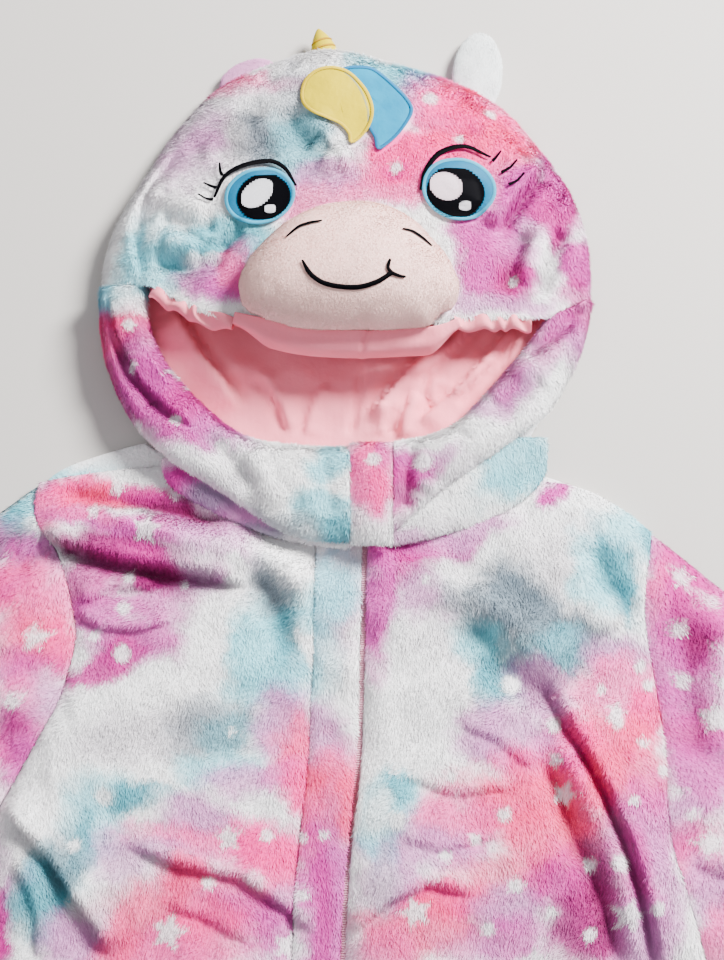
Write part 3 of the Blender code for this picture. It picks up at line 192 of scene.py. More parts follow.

# Each cloud of dye or of painted shade: its name, place, half width, half height, turn and
# strength.
clouds = {
# On the right cheek, the two narrow white clouds near x 118 and y 170 are painted highlight along
# a fold's crest.
"hood": readRows("""
pearl -83 269 50 38 0 .9; lilac -115 238 18 47 -25 .7; pink -84 302 38 8 -10 .7
white -105 214 38 28 0 .7; mist -50 262 26 35 0 .75; aqua -40 248 16 25 0 .6
white -67 286 28 15 -20 .6; aqua 22 306 30 10 0 .9; lilac 37 286 15 21 0 .7; mist 6 238 16 16 0 .5
pink 58 279 28 28 0 .9; hot 84 265 26 23 -30 .85; hot 26 235 16 11 0 .8; magenta 23 233 10 6 0 .35
hot 61 283 19 14 0 .5; rose 44 238 38 21 0 .85; pink 18 224 31 15 0 .8; pink -30 211 38 9 0 .7
white -11 238 14 11 0 .5; lilac -27 224 19 10 0 .7; hot 54 248 23 15 0 .6; rose 93 248 19 19 0 .7
pink 90 221 25 23 0 .7; orchid 109 211 28 29 -20 .9; magenta 125 211 15 25 -20 .8
orchid 129 238 14 21 0 .8; orchid 89 177 25 25 0 .8; magenta 92 157 15 19 0 .85
white 118 172 9 21 25 .85; orchid 75 172 13 21 -10 .9; orchid 70 190 16 10 0 .7
lilac 64 144 11 10 0 .6; orchid 99 221 13 15 0 .6; lilac 107 190 10 13 0 .5
white -114 204 28 14 0 .8; aqua -82 185 39 16 -10 .9; teal -116 175 21 9 0 .8
aqua -137 190 16 19 0 .8; teal -72 195 16 9 0 .6; aqua -136 167 19 19 0 .7
white -101 172 16 6 0 .7; lilac -94 159 24 13 0 .95; orchid -90 154 15 6 0 .5
orchid -104 154 11 8 0 .4; pink -80 168 10 16 -30 .7; white -137 211 10 21 0 .6
hot 25 248 19 13 0 .7; hot 26 232 15 9 0 .85; magenta 23 233 10 6 0 .4; hot 103 255 14 13 0 .5
orchid 144 176 14 19 0 .9; magenta 140 152 15 11 0 .6; lilac 92 143 29 8 0 .7
white 120 168 8 16 25 .7
"""),
"rimL": readRows("""
aqua -158 196 14 21 0 .9; lilac -166 148 9 25 0 .8; teal -143 155 15 16 0 .7
white -152 167 8 16 0 .6; pink -160 128 13 19 0 .8; rose -143 136 16 13 0 .7
pink -161 95 9 25 0 .7; magenta -135 116 19 16 -40 .55; orchid -120 102 25 16 -40 .7
magenta -130 84 28 16 -40 .55; orchid -126 84 32 21 -40 .8; orchid -100 69 32 16 -30 .85
purple -149 115 6 25 -30 .25; magenta -110 86 13 19 -45 .6; lilac -81 53 25 11 -20 .8
white -103 48 29 8 -20 .7; white -134 56 16 8 -45 .6; white -63 40 32 18 -20 .9
pearl -83 30 25 8 -20 .6; white -36 42 19 15 0 .8; aqua -16 42 16 13 0 .8
white -42 18 32 13 -20 .8; aqua -23 8 23 14 -20 .8; teal -13 -3 14 8 0 .7; mist -52 5 23 6 -20 .4
aqua -164 151 14 10 0 .8; white -148 148 11 8 0 .7
"""),
"neckL": readRows("""
orchid -120 34 19 15 0 .9; magenta -114 41 13 8 0 .6; lilac -94 20 22 12 -20 .9
mist -94 20 19 8 -20 .5; lilac -68 7 19 9 -20 .8; pearl -46 -5 26 6 -10 .8; mist -64 2 19 5 0 .5
"""),
"rimR": readRows("""
lilac 140 201 11 19 0 .8; orchid 146 174 9 19 0 .8; magenta 139 140 13 16 0 .7
orchid 144 155 11 9 0 .8; orchid 127 128 15 16 -30 .8; lilac 136 118 11 15 0 .7
white 121 101 16 16 0 .8; orchid 114 114 9 10 0 .5; lilac 98 92 16 14 0 .8
orchid 91 99 8 15 -40 .5; white 100 69 32 14 40 .8; lilac 80 79 13 10 0 .6; white 62 51 32 14 20 .9
pearl 43 30 32 13 20 .7; orchid 29 42 16 10 10 .85; magenta 25 24 6 19 0 .7; lilac 49 48 11 6 0 .5
white 36 8 25 10 10 .8; lilac 19 -2 9 15 0 .6
"""),
"neckR": readRows("""
aqua 101 45 26 22 20 .75; teal 115 39 6 17 0 .3; aqua 85 25 26 10 20 .7; white 69 14 26 9 10 .7
white 60 23 19 9 10 .6; pearl 43 4 26 6 0 .7; lilac 27 -3 13 6 0 .6
"""),
"flap": readRows("""
pink 6 37 19 32 0 1; hot 13 32 6 14 0 .6; white 2 0 14 10 0 .7; orchid 16 50 6 10 0 .5
"""),
"frontL": readRows("""
pearl -103 -44 39 39 0 .6; hot -186 26 30 13 0 .9; rose -157 26 28 10 0 .85
pink -203 13 15 14 0 .8; hot -171 21 15 5 -10 .7; purple -126 19 28 9 -15 .85
purple -104 8 23 6 -20 .7; magenta -143 28 17 8 0 .6; orchid -168 5 33 8 -12 .8
orchid -126 -1 42 10 -4 .8; lilac -88 -5 32 10 -15 .8; pink -177 9 19 6 -10 .5
lilac -68 -13 19 9 -20 .6; white -40 -21 32 17 -25 .9; white -20 -13 17 12 0 .8
aqua -11 -28 13 19 0 .7; mist -55 -41 13 22 15 .7; aqua -25 -45 17 17 0 .7
purple -161 -13 32 9 -8 .85; magenta -126 -25 36 15 0 .85; magenta -173 -31 19 17 0 .7
orchid -166 -51 30 10 5 .75; orchid -125 -48 23 8 0 .6; lilac -100 -31 15 13 0 .8
pearl -103 -16 23 12 0 .5; orchid -142 -69 30 14 0 .75; magenta -168 -87 28 8 25 .8
purple -135 -32 17 6 0 .5; white -87 -69 27 32 0 .9; aqua -63 -75 19 28 0 .85
teal -47 -78 10 30 0 .6; aqua -63 -100 26 12 10 .7; white -133 -102 40 10 10 .9
white -168 -110 23 10 0 .8; pearl -133 -128 45 17 5 .9; mist -92 -122 28 17 0 .55
teal -81 -125 18 10 0 .5; lilac -48 -122 17 22 0 .8; aqua -86 -147 28 12 10 .7
white -198 -159 30 26 0 .9; aqua -164 -176 19 23 0 .7; teal -137 -168 22 7 0 .85
teal -172 -192 8 17 -20 .7; white -125 -180 14 15 0 .7; lilac -151 -202 17 17 0 .6
lilac -104 -178 23 12 0 .8; lilac -73 -156 22 12 0 .7; rose -39 -144 15 26 0 .75
orchid -48 -153 13 13 0 .5; hot -27 -162 19 22 0 .75; pink -94 -193 45 10 -10 .8
lilac -119 -199 26 9 -10 .6; hot -62 -194 26 13 -12 .85; hot -44 -210 15 14 0 .8
pink -88 -223 39 17 -12 .8; rose -109 -217 15 17 0 .6; orchid -62 -232 26 9 -20 .5
rose -127 -244 42 22 0 .75; hot -90 -247 28 19 0 .6; pink -114 -265 39 17 0 .8
orchid -47 -247 19 22 0 .7; lilac -38 -223 15 9 -20 .5; white -215 -193 12 19 0 .7
teal -194 -222 22 23 0 .85; mist -184 -205 13 15 -20 .5; magenta -219 -244 6 26 0 .9
lilac -174 -250 22 15 0 .8; pearl -164 -232 12 13 0 .6; rose -150 -256 15 13 0 .6
"""),
"placket": readRows("""
lilac -17 -44 19 39 0 .4; aqua -20 -34 19 23 0 .75; aqua -28 -76 17 32 0 .7
white -15 -101 13 32 0 .5; lilac -28 -130 15 22 0 .75; pink -17 -147 17 17 0 .6
rose -17 -168 26 26 0 .85; pink -26 -193 15 26 0 .8; orchid -20 -214 19 26 0 .85
orchid -23 -247 19 32 0 .85; lilac -18 -205 6 58 0 .3; magenta -27 -232 8 39 0 .35
"""),
"frontR": readRows("""
pearl 75 -44 51 39 0 .6; magenta 23 -16 22 14 0 .9; orchid 10 -44 10 39 0 .85
purple 21 -10 10 8 0 .6; orchid 50 -8 28 8 10 .7; lilac 82 4 39 8 12 .8; lilac 37 -39 17 14 0 .7
white 130 13 36 17 0 .9; orchid 119 23 8 8 0 .9; white 159 21 26 12 -20 .8; aqua 173 4 19 17 -30 .7
teal 184 -5 6 14 0 .6; white 101 -18 45 14 20 .9; pearl 126 -15 26 19 0 .6
teal 158 -21 13 26 20 .85; teal 171 -44 8 17 20 .8; aqua 144 -25 12 22 20 .7
mist 100 -47 32 22 -30 .95; mist 125 -69 26 19 -20 .7; teal 122 -75 19 14 -30 .6
aqua 75 -69 19 15 -30 .8; teal 87 -91 17 13 -40 .75; mist 69 -44 15 17 0 .5
teal 79 -100 10 19 0 .6; lilac 115 -100 22 14 -40 .7; mist 150 -72 17 13 0 .5
lilac 163 -78 26 13 0 .7; white 181 -56 9 17 0 .6; pink 157 -100 28 19 0 .75
hot 176 -116 15 17 0 .8; rose 155 -128 28 14 0 .8; hot 133 -135 22 17 -30 .85
rose 148 -156 22 26 -20 .85; magenta 124 -150 10 17 -30 .5; rose 176 -153 17 22 0 .7
orchid 179 -181 18 32 0 .75; lilac 178 -223 18 39 0 .7; magenta 163 -199 13 39 15 .6
purple 144 -211 13 32 15 .7; magenta 146 -241 15 32 10 .7; lilac 170 -256 19 26 0 .7
lilac 96 -128 28 19 0 .75; lilac 74 -128 15 17 0 .6; hot 108 -147 22 15 -20 .7
rose 98 -168 40 23 0 .85; pink 64 -182 33 15 0 .8; rose 113 -190 26 17 0 .8
lilac 39 -196 36 12 0 .75; aqua 21 -168 15 19 0 .85; teal 24 -161 10 10 0 .6
aqua 11 -193 10 26 0 .8; white 12 -178 9 15 0 .7; lilac 18 -217 19 19 0 .75
pearl 11 -229 10 26 0 .5; hot 53 -228 28 14 5 .85; rose 39 -247 39 18 0 .75
pink 14 -256 19 17 0 .7; rose 85 -211 32 12 0 .6; lilac 92 -232 23 14 0 .8
magenta 121 -216 18 19 0 .8; purple 133 -244 17 23 0 .8; orchid 88 -253 26 15 0 .7
lilac 66 -259 19 13 0 .5
"""),
"sleeveL": readRows("""
aqua -223 22 17 19 0 .9; teal -227 11 9 13 0 .6; mist -220 -7 19 12 0 .85
lilac -202 -18 17 14 0 .7; orchid -212 -12 13 9 0 .5; rose -222 -39 19 17 0 .85
pink -201 -44 22 19 0 .8; rose -207 -69 28 19 0 .8; hot -190 -75 9 19 0 .6
magenta -203 -89 17 12 0 .5; orchid -219 -85 17 13 0 .6; lilac -199 -107 19 10 0 .7
pink -218 -100 13 13 0 .5; magenta -215 -132 23 22 0 .8; purple -224 -119 13 10 0 .5
orchid -207 -147 22 17 0 .7
"""),
"sleeveR": readRows("""
magenta 203 -21 26 23 -20 .9; magenta 214 -50 28 28 0 .85; purple 207 -69 15 22 20 .7
pink 189 -44 6 26 0 .6; orchid 191 -82 12 32 0 .75; orchid 216 -94 22 17 0 .7
purple 214 -69 12 13 0 .4; magenta 206 -125 22 15 0 .8; orchid 200 -107 15 13 0 .6
orchid 211 -153 26 22 0 .8; lilac 198 -178 15 19 0 .7; pink 209 -205 19 23 0 .8
magenta 203 -196 9 13 0 .4; lilac 217 -229 17 26 0 .8; pink 220 -256 13 19 0 .7
"""),
"back": readRows("""
white -151 55 39 10 0 .9; aqua -196 36 39 9 0 .8; pearl 128 42 39 13 0 .6; pink -88 323 26 14 0 .8
orchid -93 324 13 8 0 .5; white 154 22 39 19 0 .6
"""),
}
# Printed stars have a place, a reach and a turn, and dots a place and a reach.
stars = readRows("""
-136 1 9.1 -10; -157 30 5.9 -30; -171 13 5.2 0; -118 -247 11.1 -12; -82 -190 8.5 6
-46 -256 8.5 -20; -206 -67 9.8 -5; -121 104 7.2 -25; -112 96 5.9 0; 159 -114 6.5 -15
175 -133 4.5 0; 126 -164 7.8 -20; 33 -235 9.1 15; 163 -237 9.8 -10; 106 -264 8.5 0; 204 -29 8.5 -12
221 -117 10.4 0; 216 -194 9.8 12; 94 -219 5.9 -10; 21 -149 5.2 0; 121 -143 5.2 -30
""")
dots = readRows("""
-150 -49 4.5; -169 -66 3.2; -151 -77 5.9; -158 -100 3.9; -176 -100 4.5; -218 -107 5.2; -148 -29 3.2
-113 -34 2.6; -176 -195 4.5; -160 -165 5.9; -81 -125 3.2; -58 -189 3.9; -37 -190 3.2; -24 -189 3.2
-94 -218 3.9; -36 -225 3.9; -78 -172 3.9; 88 -176 4.5; 69 -192 3.9; 51 -202 3.9; 120 -122 4.5
141 -207 4.5; 77 -245 4.5; 139 -249 3.9; 115 -235 3.2; 159 -120 4.5; 221 -45 4.5; 201 -63 5.2
202 -94 5.2; 227 -96 4.5; 195 -163 4.5; 204 -177 3.2; 187 -150 3.9; 158 -206 5.2; 150 -100 3.2
40 -30 3.2; 94 -97 6.5; 22 -180 5.9; 63 255 3.9; 22 233 3.9; 84 278 3.9; 44 286 5.2; 130 245 4.5
97 160 3.2; -118 70 3.9; -88 54 5.2; -147 105 3.2; -144 68 3.9; 39 43 5.9; 7 44 4.5; -149 131 3.9
180 -232 3.9; 175 -85 4.5; 180 -97 3.9; 168 -168 3.2; 55 -153 3.2
""")


# Legs and arms beyond the listed part carry on with the same kind of clouds and motifs.
cloudBox = dict(count=250, onLegs=150, legs=((-260, 260), (-1060, -330)),
                arms=((262, 470), (-420, 60)))
motifBox = dict(count=210, onLegs=130, legs=((-255, 255), (-1050, -300)),
                arms=((245, 460), (-410, 60)))
cloudOrder = ("white", "aqua", "lilac", "rose", "white", "orchid", "pink", "teal", "magenta",
              "white", "hot")


def placeBeyond(k, box):
    wide, high = box["legs"] if k < box["onLegs"] else box["arms"]
    side = 1 if k < box["onLegs"] else chance.choice([-1, 1])
    return side * chance.uniform(*wide), chance.uniform(*high)


runOn = []
for k in range(cloudBox["count"]):
    place = placeBeyond(k, cloudBox)
    runOn.append((cloudOrder[k % len(cloudOrder)], *place, chance.uniform(24, 62),
                  chance.uniform(18, 44), chance.uniform(-60, 60), chance.uniform(0.6, 0.9)))
for k in range(motifBox["count"]):
    place = placeBeyond(k, motifBox)
    if k % 4:
        dots.append((*place, chance.uniform(3, 5.6)))
    else:
        stars.append((*place, chance.uniform(6.5, 10.5), chance.uniform(0, 72)))


def motifs(x, y):
    # how white the cloth is printed, from 0 to 1, for five-pointed stars and round dots
    mask = np.zeros(x.shape)
    tenth = math.pi / 5
    for cx, cy, reach, turn in stars:
        near = (abs(x - cx) < reach * 1.25) & (abs(y - cy) < reach * 1.25)
        if not near.any():
            continue
        dx, dy = x[near] - cx, y[near] - cy
        angle = np.arctan2(dy, dx) - math.radians(turn + 90)
        bent = abs((angle + tenth) % (2 * tenth) - tenth)
        r = np.hypot(dx, dy)
        tip, inner = reach * 1.1, reach * 0.5
        vx, vy = inner * math.cos(tenth) - tip, inner * math.sin(tenth)
        inside = ((r * np.cos(bent) - tip) * vy - r * np.sin(bent) * vx) / math.hypot(vx, vy)
        mask[near] = np.maximum(mask[near], smoothStep(1.0, -0.9, inside))
    for cx, cy, reach in dots:
        near = (abs(x - cx) < reach * 1.6) & (abs(y - cy) < reach * 1.6)
        if near.any():
            gap = np.hypot(x[near] - cx, y[near] - cy)
            mask[near] = np.maximum(mask[near], smoothStep(reach * 1.25, reach * 0.6, gap))
    return mask


creaseShadeShare = {"rimL": 0.5}  # how strongly a piece's painted crease shade shows, where it isn't 1


def paintedCreaseShade(x, y, group):
    # painted shade in creases and beside overlapping fold edges, and painted light on ridges: 1 in
    # the deepest shade, 0 away from the folds, below 0 on ridges
    deep = np.zeros(x.shape)
    for height, width, side, *points in foldTables.get(group, ()):
        gap, along = lineDistance(x, y, points)
        if side:  # painted shadow beside the upper cloth's edge
            part = abs(height) / 15 * np.exp(-((gap * side + 3.0) / 5.0) ** 2)
        elif height < 0:
            # painted shade in a valley
            part = abs(height) / 9 * np.exp(-(gap / (0.8 * width)) ** 2)
        else:
            # painted light on a ridge
            part = -height / 26 * np.exp(-(gap / width) ** 2)
        deep += part * smoothStep(0, 0.2, along) * smoothStep(1, 0.8, along)
    return np.clip(deep * creaseShadeShare.get(group, 1.0), -0.3, 1)


def dyeAndShadeColours(points, group):
    x, y = points[:, 0], points[:, 1]
    px = x + 6 * softNoise(x, y, 24, 1) + 2.6 * softNoise(x, y, 7, 2)
    py = y + 6 * softNoise(x, y, 24, 3) + 2.6 * softNoise(x, y, 7, 4)
    colour = np.tile(dyesAndShades["white"], (len(x), 1)).astype(float)
    edge = 0.14 * softNoise(x, y, 11, 5) + 0.1 * softNoise(x, y, 4, 6)
    for dye, cx, cy, rx, ry, turn, strength in clouds[group] + runOn:
        reach = 1.6 * max(rx, ry)
        near = (abs(px - cx) < reach) & (abs(py - cy) < reach)
        if not near.any():
            continue
        dx, dy = turned(px[near] - cx, py[near] - cy, -turn)
        far = np.hypot(dx / rx, dy / ry) + edge[near]
        weight = min(1, strength * 1.1) * smoothStep(1.5, 0.55, far)
        colour[near] += (np.array(dyesAndShades[dye]) - colour[near]) * weight[:, None]
    # painted shade: the colour is darker and deeper in creases and beside overlaps, and lighter on
    # ridges
    crease = paintedCreaseShade(x, y, group)[:, None]
    colour = np.clip(colour, 0, 1) ** (1.5 + 0.5 * crease) * (1 - 0.32 * crease)
    white = 0.84 * motifs(x + 0.6 * softNoise(x, y, 3, 8), y + 0.6 * softNoise(x, y, 3, 9))
    colour += (np.array(motifWhite) - colour) * white[:, None]
    return colour * (1 + 0.05 * softNoise(x, y, 5, 7))[:, None]


class Wire:
    # an output socket that can be added to and multiplied

    def __init__(self, tree, socket):
        self.tree, self.socket = tree, socket

    def sum(self, kind, other, turned=False):
        node = self.tree.nodes.new("ShaderNodeMath")
        node.operation = kind
        pair = (other, self) if turned else (self, other)
        for place, item in zip(node.inputs, pair):
            if isinstance(item, Wire):
                self.tree.links.new(item.socket, place)
            else:
                place.default_value = item
        return Wire(self.tree, node.outputs[0])

    def __add__(self, other):
        return self.sum("ADD", other)

    def __mul__(self, other):
        return self.sum("MULTIPLY", other)

    def __radd__(self, other):
        return self.sum("ADD", other, True)

    def __rmul__(self, other):
        return self.sum("MULTIPLY", other, True)


finishes = {}


class Finish:
    # one material; the fixed values go straight onto the shader's sockets

    def __init__(self, name, colour, fixed):
        self.material = finishes[name] = bpy.data.materials.new(name)
        self.material.use_nodes = True
        self.tree = self.material.node_tree
        self.surface = self.tree.nodes["Principled BSDF"]
        self.surface.inputs["Base Color"].default_value = (*colour, 1)
        self.material.diffuse_color = (*colour, 1)
        for key, value in fixed.items():
            self.surface.inputs[key].default_value = value

    def node(self, kind, settings=None, inputs=None, out=0):
        made = self.tree.nodes.new("ShaderNode" + kind)
        for key, value in (settings or {}).items():
            setattr(made, key, value)
        for key, value in (inputs or {}).items():
            if isinstance(value, Wire):
                self.tree.links.new(value.socket, made.inputs[key])
            else:
                made.inputs[key].default_value = value
        return Wire(self.tree, made.outputs[out])

    def feed(self, key, wire):
        self.tree.links.new(wire.socket, self.surface.inputs[key])

    def place(self):
        # the row frame's own coordinates
        return self.node("TexCoord", out="Object")

    def noise(self, scale, detail=2.0):
        return self.node("TexNoise", {}, {"Vector": self.place(), "Scale": scale,
                                          "Detail": detail, "Roughness": 0.55})

    def blend(self, share, low, high):
        return self.node("Mix", {"data_type": "RGBA"},
                         {0: share, 6: (*low, 1), 7: (*high, 1)}, out=2)

    def bump(self, height, depth, strength=1.0):
        self.feed("Normal", self.node("Bump", {}, {"Height": height, "Distance": depth,
                                                   "Strength": strength}))


def shaderLook(rough, gloss, sheen=0.0, **more):
    return {"Roughness": rough, "Specular IOR Level": gloss, "Sheen Weight": sheen, **more}


def mottled(name, look, scale, dark, light, plain=None):
    # a finish whose colour wanders between a dark and a light one
    made = Finish(name, plain or light, look)
    made.feed("Base Color", made.blend(made.noise(scale), dark, light))
    return made


# Plush: the dye, with its painted shade and light, is worked out for each point and pile end.
plushBase = (0.8, 0.7, 0.8)
plush = Finish("plushCloth", plushBase, shaderLook(0.85, 0.15, 0.35))
plush.bump(plush.noise(420), 0.0012)
pile = Finish("plushPile", plushBase, shaderLook(0.62, 0.22, 0.15, **{"Sheen Roughness": 0.4}))
for dyedAndShaded in (plush, pile):
    dyedAndShaded.feed("Base Color", dyedAndShaded.node("Attribute", {"attribute_name": "dye"}))

# Lining: smooth pink jersey with a faint rib.
lining = mottled("pinkLining", shaderLook(0.82, 0.12, 0.1), 38, (0.88, 0.20, 0.27),
                 (0.95, 0.29, 0.365), (0.90, 0.30, 0.36))
rib = lining.node("TexWave", {"wave_type": "BANDS", "bands_direction": "X"},
                  {"Vector": lining.place(), "Scale": 420, "Distortion": 0.4}, out=1)
lining.bump(rib * 0.1 + lining.noise(90, 3.0) * 0.9, 0.0011, 0.8)

muzzlePlush = mottled("muzzlePlush", shaderLook(0.8, 0.18, 0.3), 26, (0.80, 0.50, 0.45),
                      (0.88, 0.58, 0.53), (0.76, 0.56, 0.57))
muzzlePlush.bump(muzzlePlush.noise(700), 0.0007, 0.7)

satins = {"satinYellow": ((0.44, 0.34, 0.0), (0.56, 0.43, 0.0)),
          "satinBlue": ((0.0, 0.14, 0.27), (0.0, 0.24, 0.40)),
          "satinTeal": ((0.0, 0.07, 0.13), (0.0, 0.15, 0.26))}
for name, shades in satins.items():
    satin = mottled(name, shaderLook(0.42, 0.05, Anisotropic=0.4), 60, *shades)
    satin.bump(satin.noise(85, 3.0), 0.0022, 0.6)

threads = {"threadBlack": (0.002, 0.002, 0.003), "threadWhite": (0.56, 0.56, 0.60),
           "threadTeal": (0.0, 0.13, 0.25), "threadYellow": (0.56, 0.41, 0.0),
           "threadSky": (0.03, 0.30, 0.46), "threadGold": (0.34, 0.19, 0.0),
           "threadBlue": (0.0, 0.14, 0.30), "glintPink": (0.60, 0.48, 0.54),
           "zipPink": (0.72, 0.36, 0.46)}
for name, colour in threads.items():
    mottled(name, shaderLook(0.5, 0.02 if name == "threadBlack" else 0.15), 900,
            [c * 0.8 for c in colour], [min(1, c * 1.15) for c in colour], colour)

metal = Finish("zipMetal", (0.62, 0.60, 0.62), {"Metallic": 1.0})
metal.feed("Roughness", metal.noise(300) * 0.2 + 0.22)


def garment(points):
    # from the row frame's metres to the tables' millimetres
    return np.asarray(points) * 1000 - (0, neckY, 0)


def rowFrame(points):
    return (np.asarray(points) + (0, neckY, 0)) * mm


def readVectors(items, key):
    found = np.empty(len(items) * 3)
    items.foreach_get(key, found)
    return found.reshape(-1, 3)


def placesOf(piece):
    return garment(readVectors(piece.data.vertices, "co"))


def unit(vectors, least=1e-9):
    return vectors / np.maximum(np.linalg.norm(vectors, axis=1, keepdims=True), least)


def newPiece(name, mesh, finish):
    mesh.materials.clear()
    mesh.materials.append(finishes[finish])
    piece = bpy.data.objects.new(name, mesh)
    bpy.context.scene.collection.objects.link(piece)
    return piece


def baked(piece):
    # the piece's mesh with its modifiers carried out
    bpy.context.view_layer.update()
    mesh = bpy.data.meshes.new_from_object(
        piece.evaluated_get(bpy.context.evaluated_depsgraph_get()))
    piece.modifiers.clear()
    return mesh


def clothCopy(name, node, finish, level=2, fine=False, sharp=0.95):
    # the solid's own form, in smaller faces: edges bent more than sharp stay crisp
    rimCrease = 0.85
    mesh = nodes[node].data.copy()
    for extra in ("custom_normal", "sharp_edge", "sharp_face"):
        if extra in mesh.attributes:
            mesh.attributes.remove(mesh.attributes[extra])
    while mesh.uv_layers:
        mesh.uv_layers.remove(mesh.uv_layers[0])
    work = bmesh.new()
    work.from_mesh(mesh)
    bmesh.ops.remove_doubles(work, verts=work.verts, dist=0.02 * mm)
    bmesh.ops.join_triangles(work, faces=work.faces, angle_face_threshold=0.7,
                             angle_shape_threshold=1.5)
    bmesh.ops.recalc_face_normals(work, faces=work.faces)
    rim = work.edges.layers.float.get("crease_edge") or work.edges.layers.float.new("crease_edge")
    for edge in work.edges:
        if len(edge.link_faces) == 2 and edge.calc_face_angle(0) > sharp:
            edge[rim] = rimCrease
    work.to_mesh(mesh)
    work.free()
    piece = newPiece(name, mesh, finish)
    smooth = piece.modifiers.new("finer", "SUBSURF")
    smooth.levels = smooth.render_levels = level
    shaped = piece.data = baked(piece)
    if fine:  # the upper faces in view are split once more
        work = bmesh.new()
        work.from_mesh(shaped)
        edges = {edge for face in work.faces
                 if face.normal.z > 0.15
                 and face.calc_center_median().y * 1000 - neckY > viewLow - 15
                 for edge in face.edges}
        bmesh.ops.subdivide_edges(work, edges=list(edges), cuts=1, use_grid_fill=True)
        work.to_mesh(shaped)
        work.free()
    shaped.shade_smooth()
    return piece


def reshape(piece, change):
    piece.data.vertices.foreach_set("co", rowFrame(change(placesOf(piece))).ravel())
    piece.data.update()


def setDyeAndShade(mesh, colours):
    layer = mesh.color_attributes.new("dye", "FLOAT_COLOR", "POINT")
    layer.data.foreach_set("color", np.c_[colours, np.ones(len(colours))].ravel())


def paint(piece, group):
    shadeUnderPile = 0.9  # the cloth between the blades is painted a little darker, as painted shade under the pile
    setDyeAndShade(piece.data, dyeAndShadeColours(placesOf(piece), group) * shadeUnderPile)


def treeOf(*pieces):
    corners, faces = [], []
    for piece in pieces:
        start = len(corners)
        corners += [v.co * 1000 - Vector((0, neckY, 0)) for v in piece.data.vertices]
        faces += [[start + i for i in face.vertices] for face in piece.data.polygons]
    return BVHTree.FromPolygons(corners, faces)


def topOf(tree, x, y):
    hit = tree.ray_cast(Vector((x, y, 400)), Vector((0, 0, -1)))
    return hit[0].z if hit[0] else None


pileDefaults = dict(long=3.4, wide=0.85, turn=0, lean=1.1, lowest=0.0, far=1, plain=None,
                    covers=(), shaded=False)
blade = dict(sides=0.3, flat=1.38, coarse=2.1, stray=0.16, depth=0.25, tipLow=0.4,
             rootPaintedShade=0.86, tipPaintedLight=1.12)


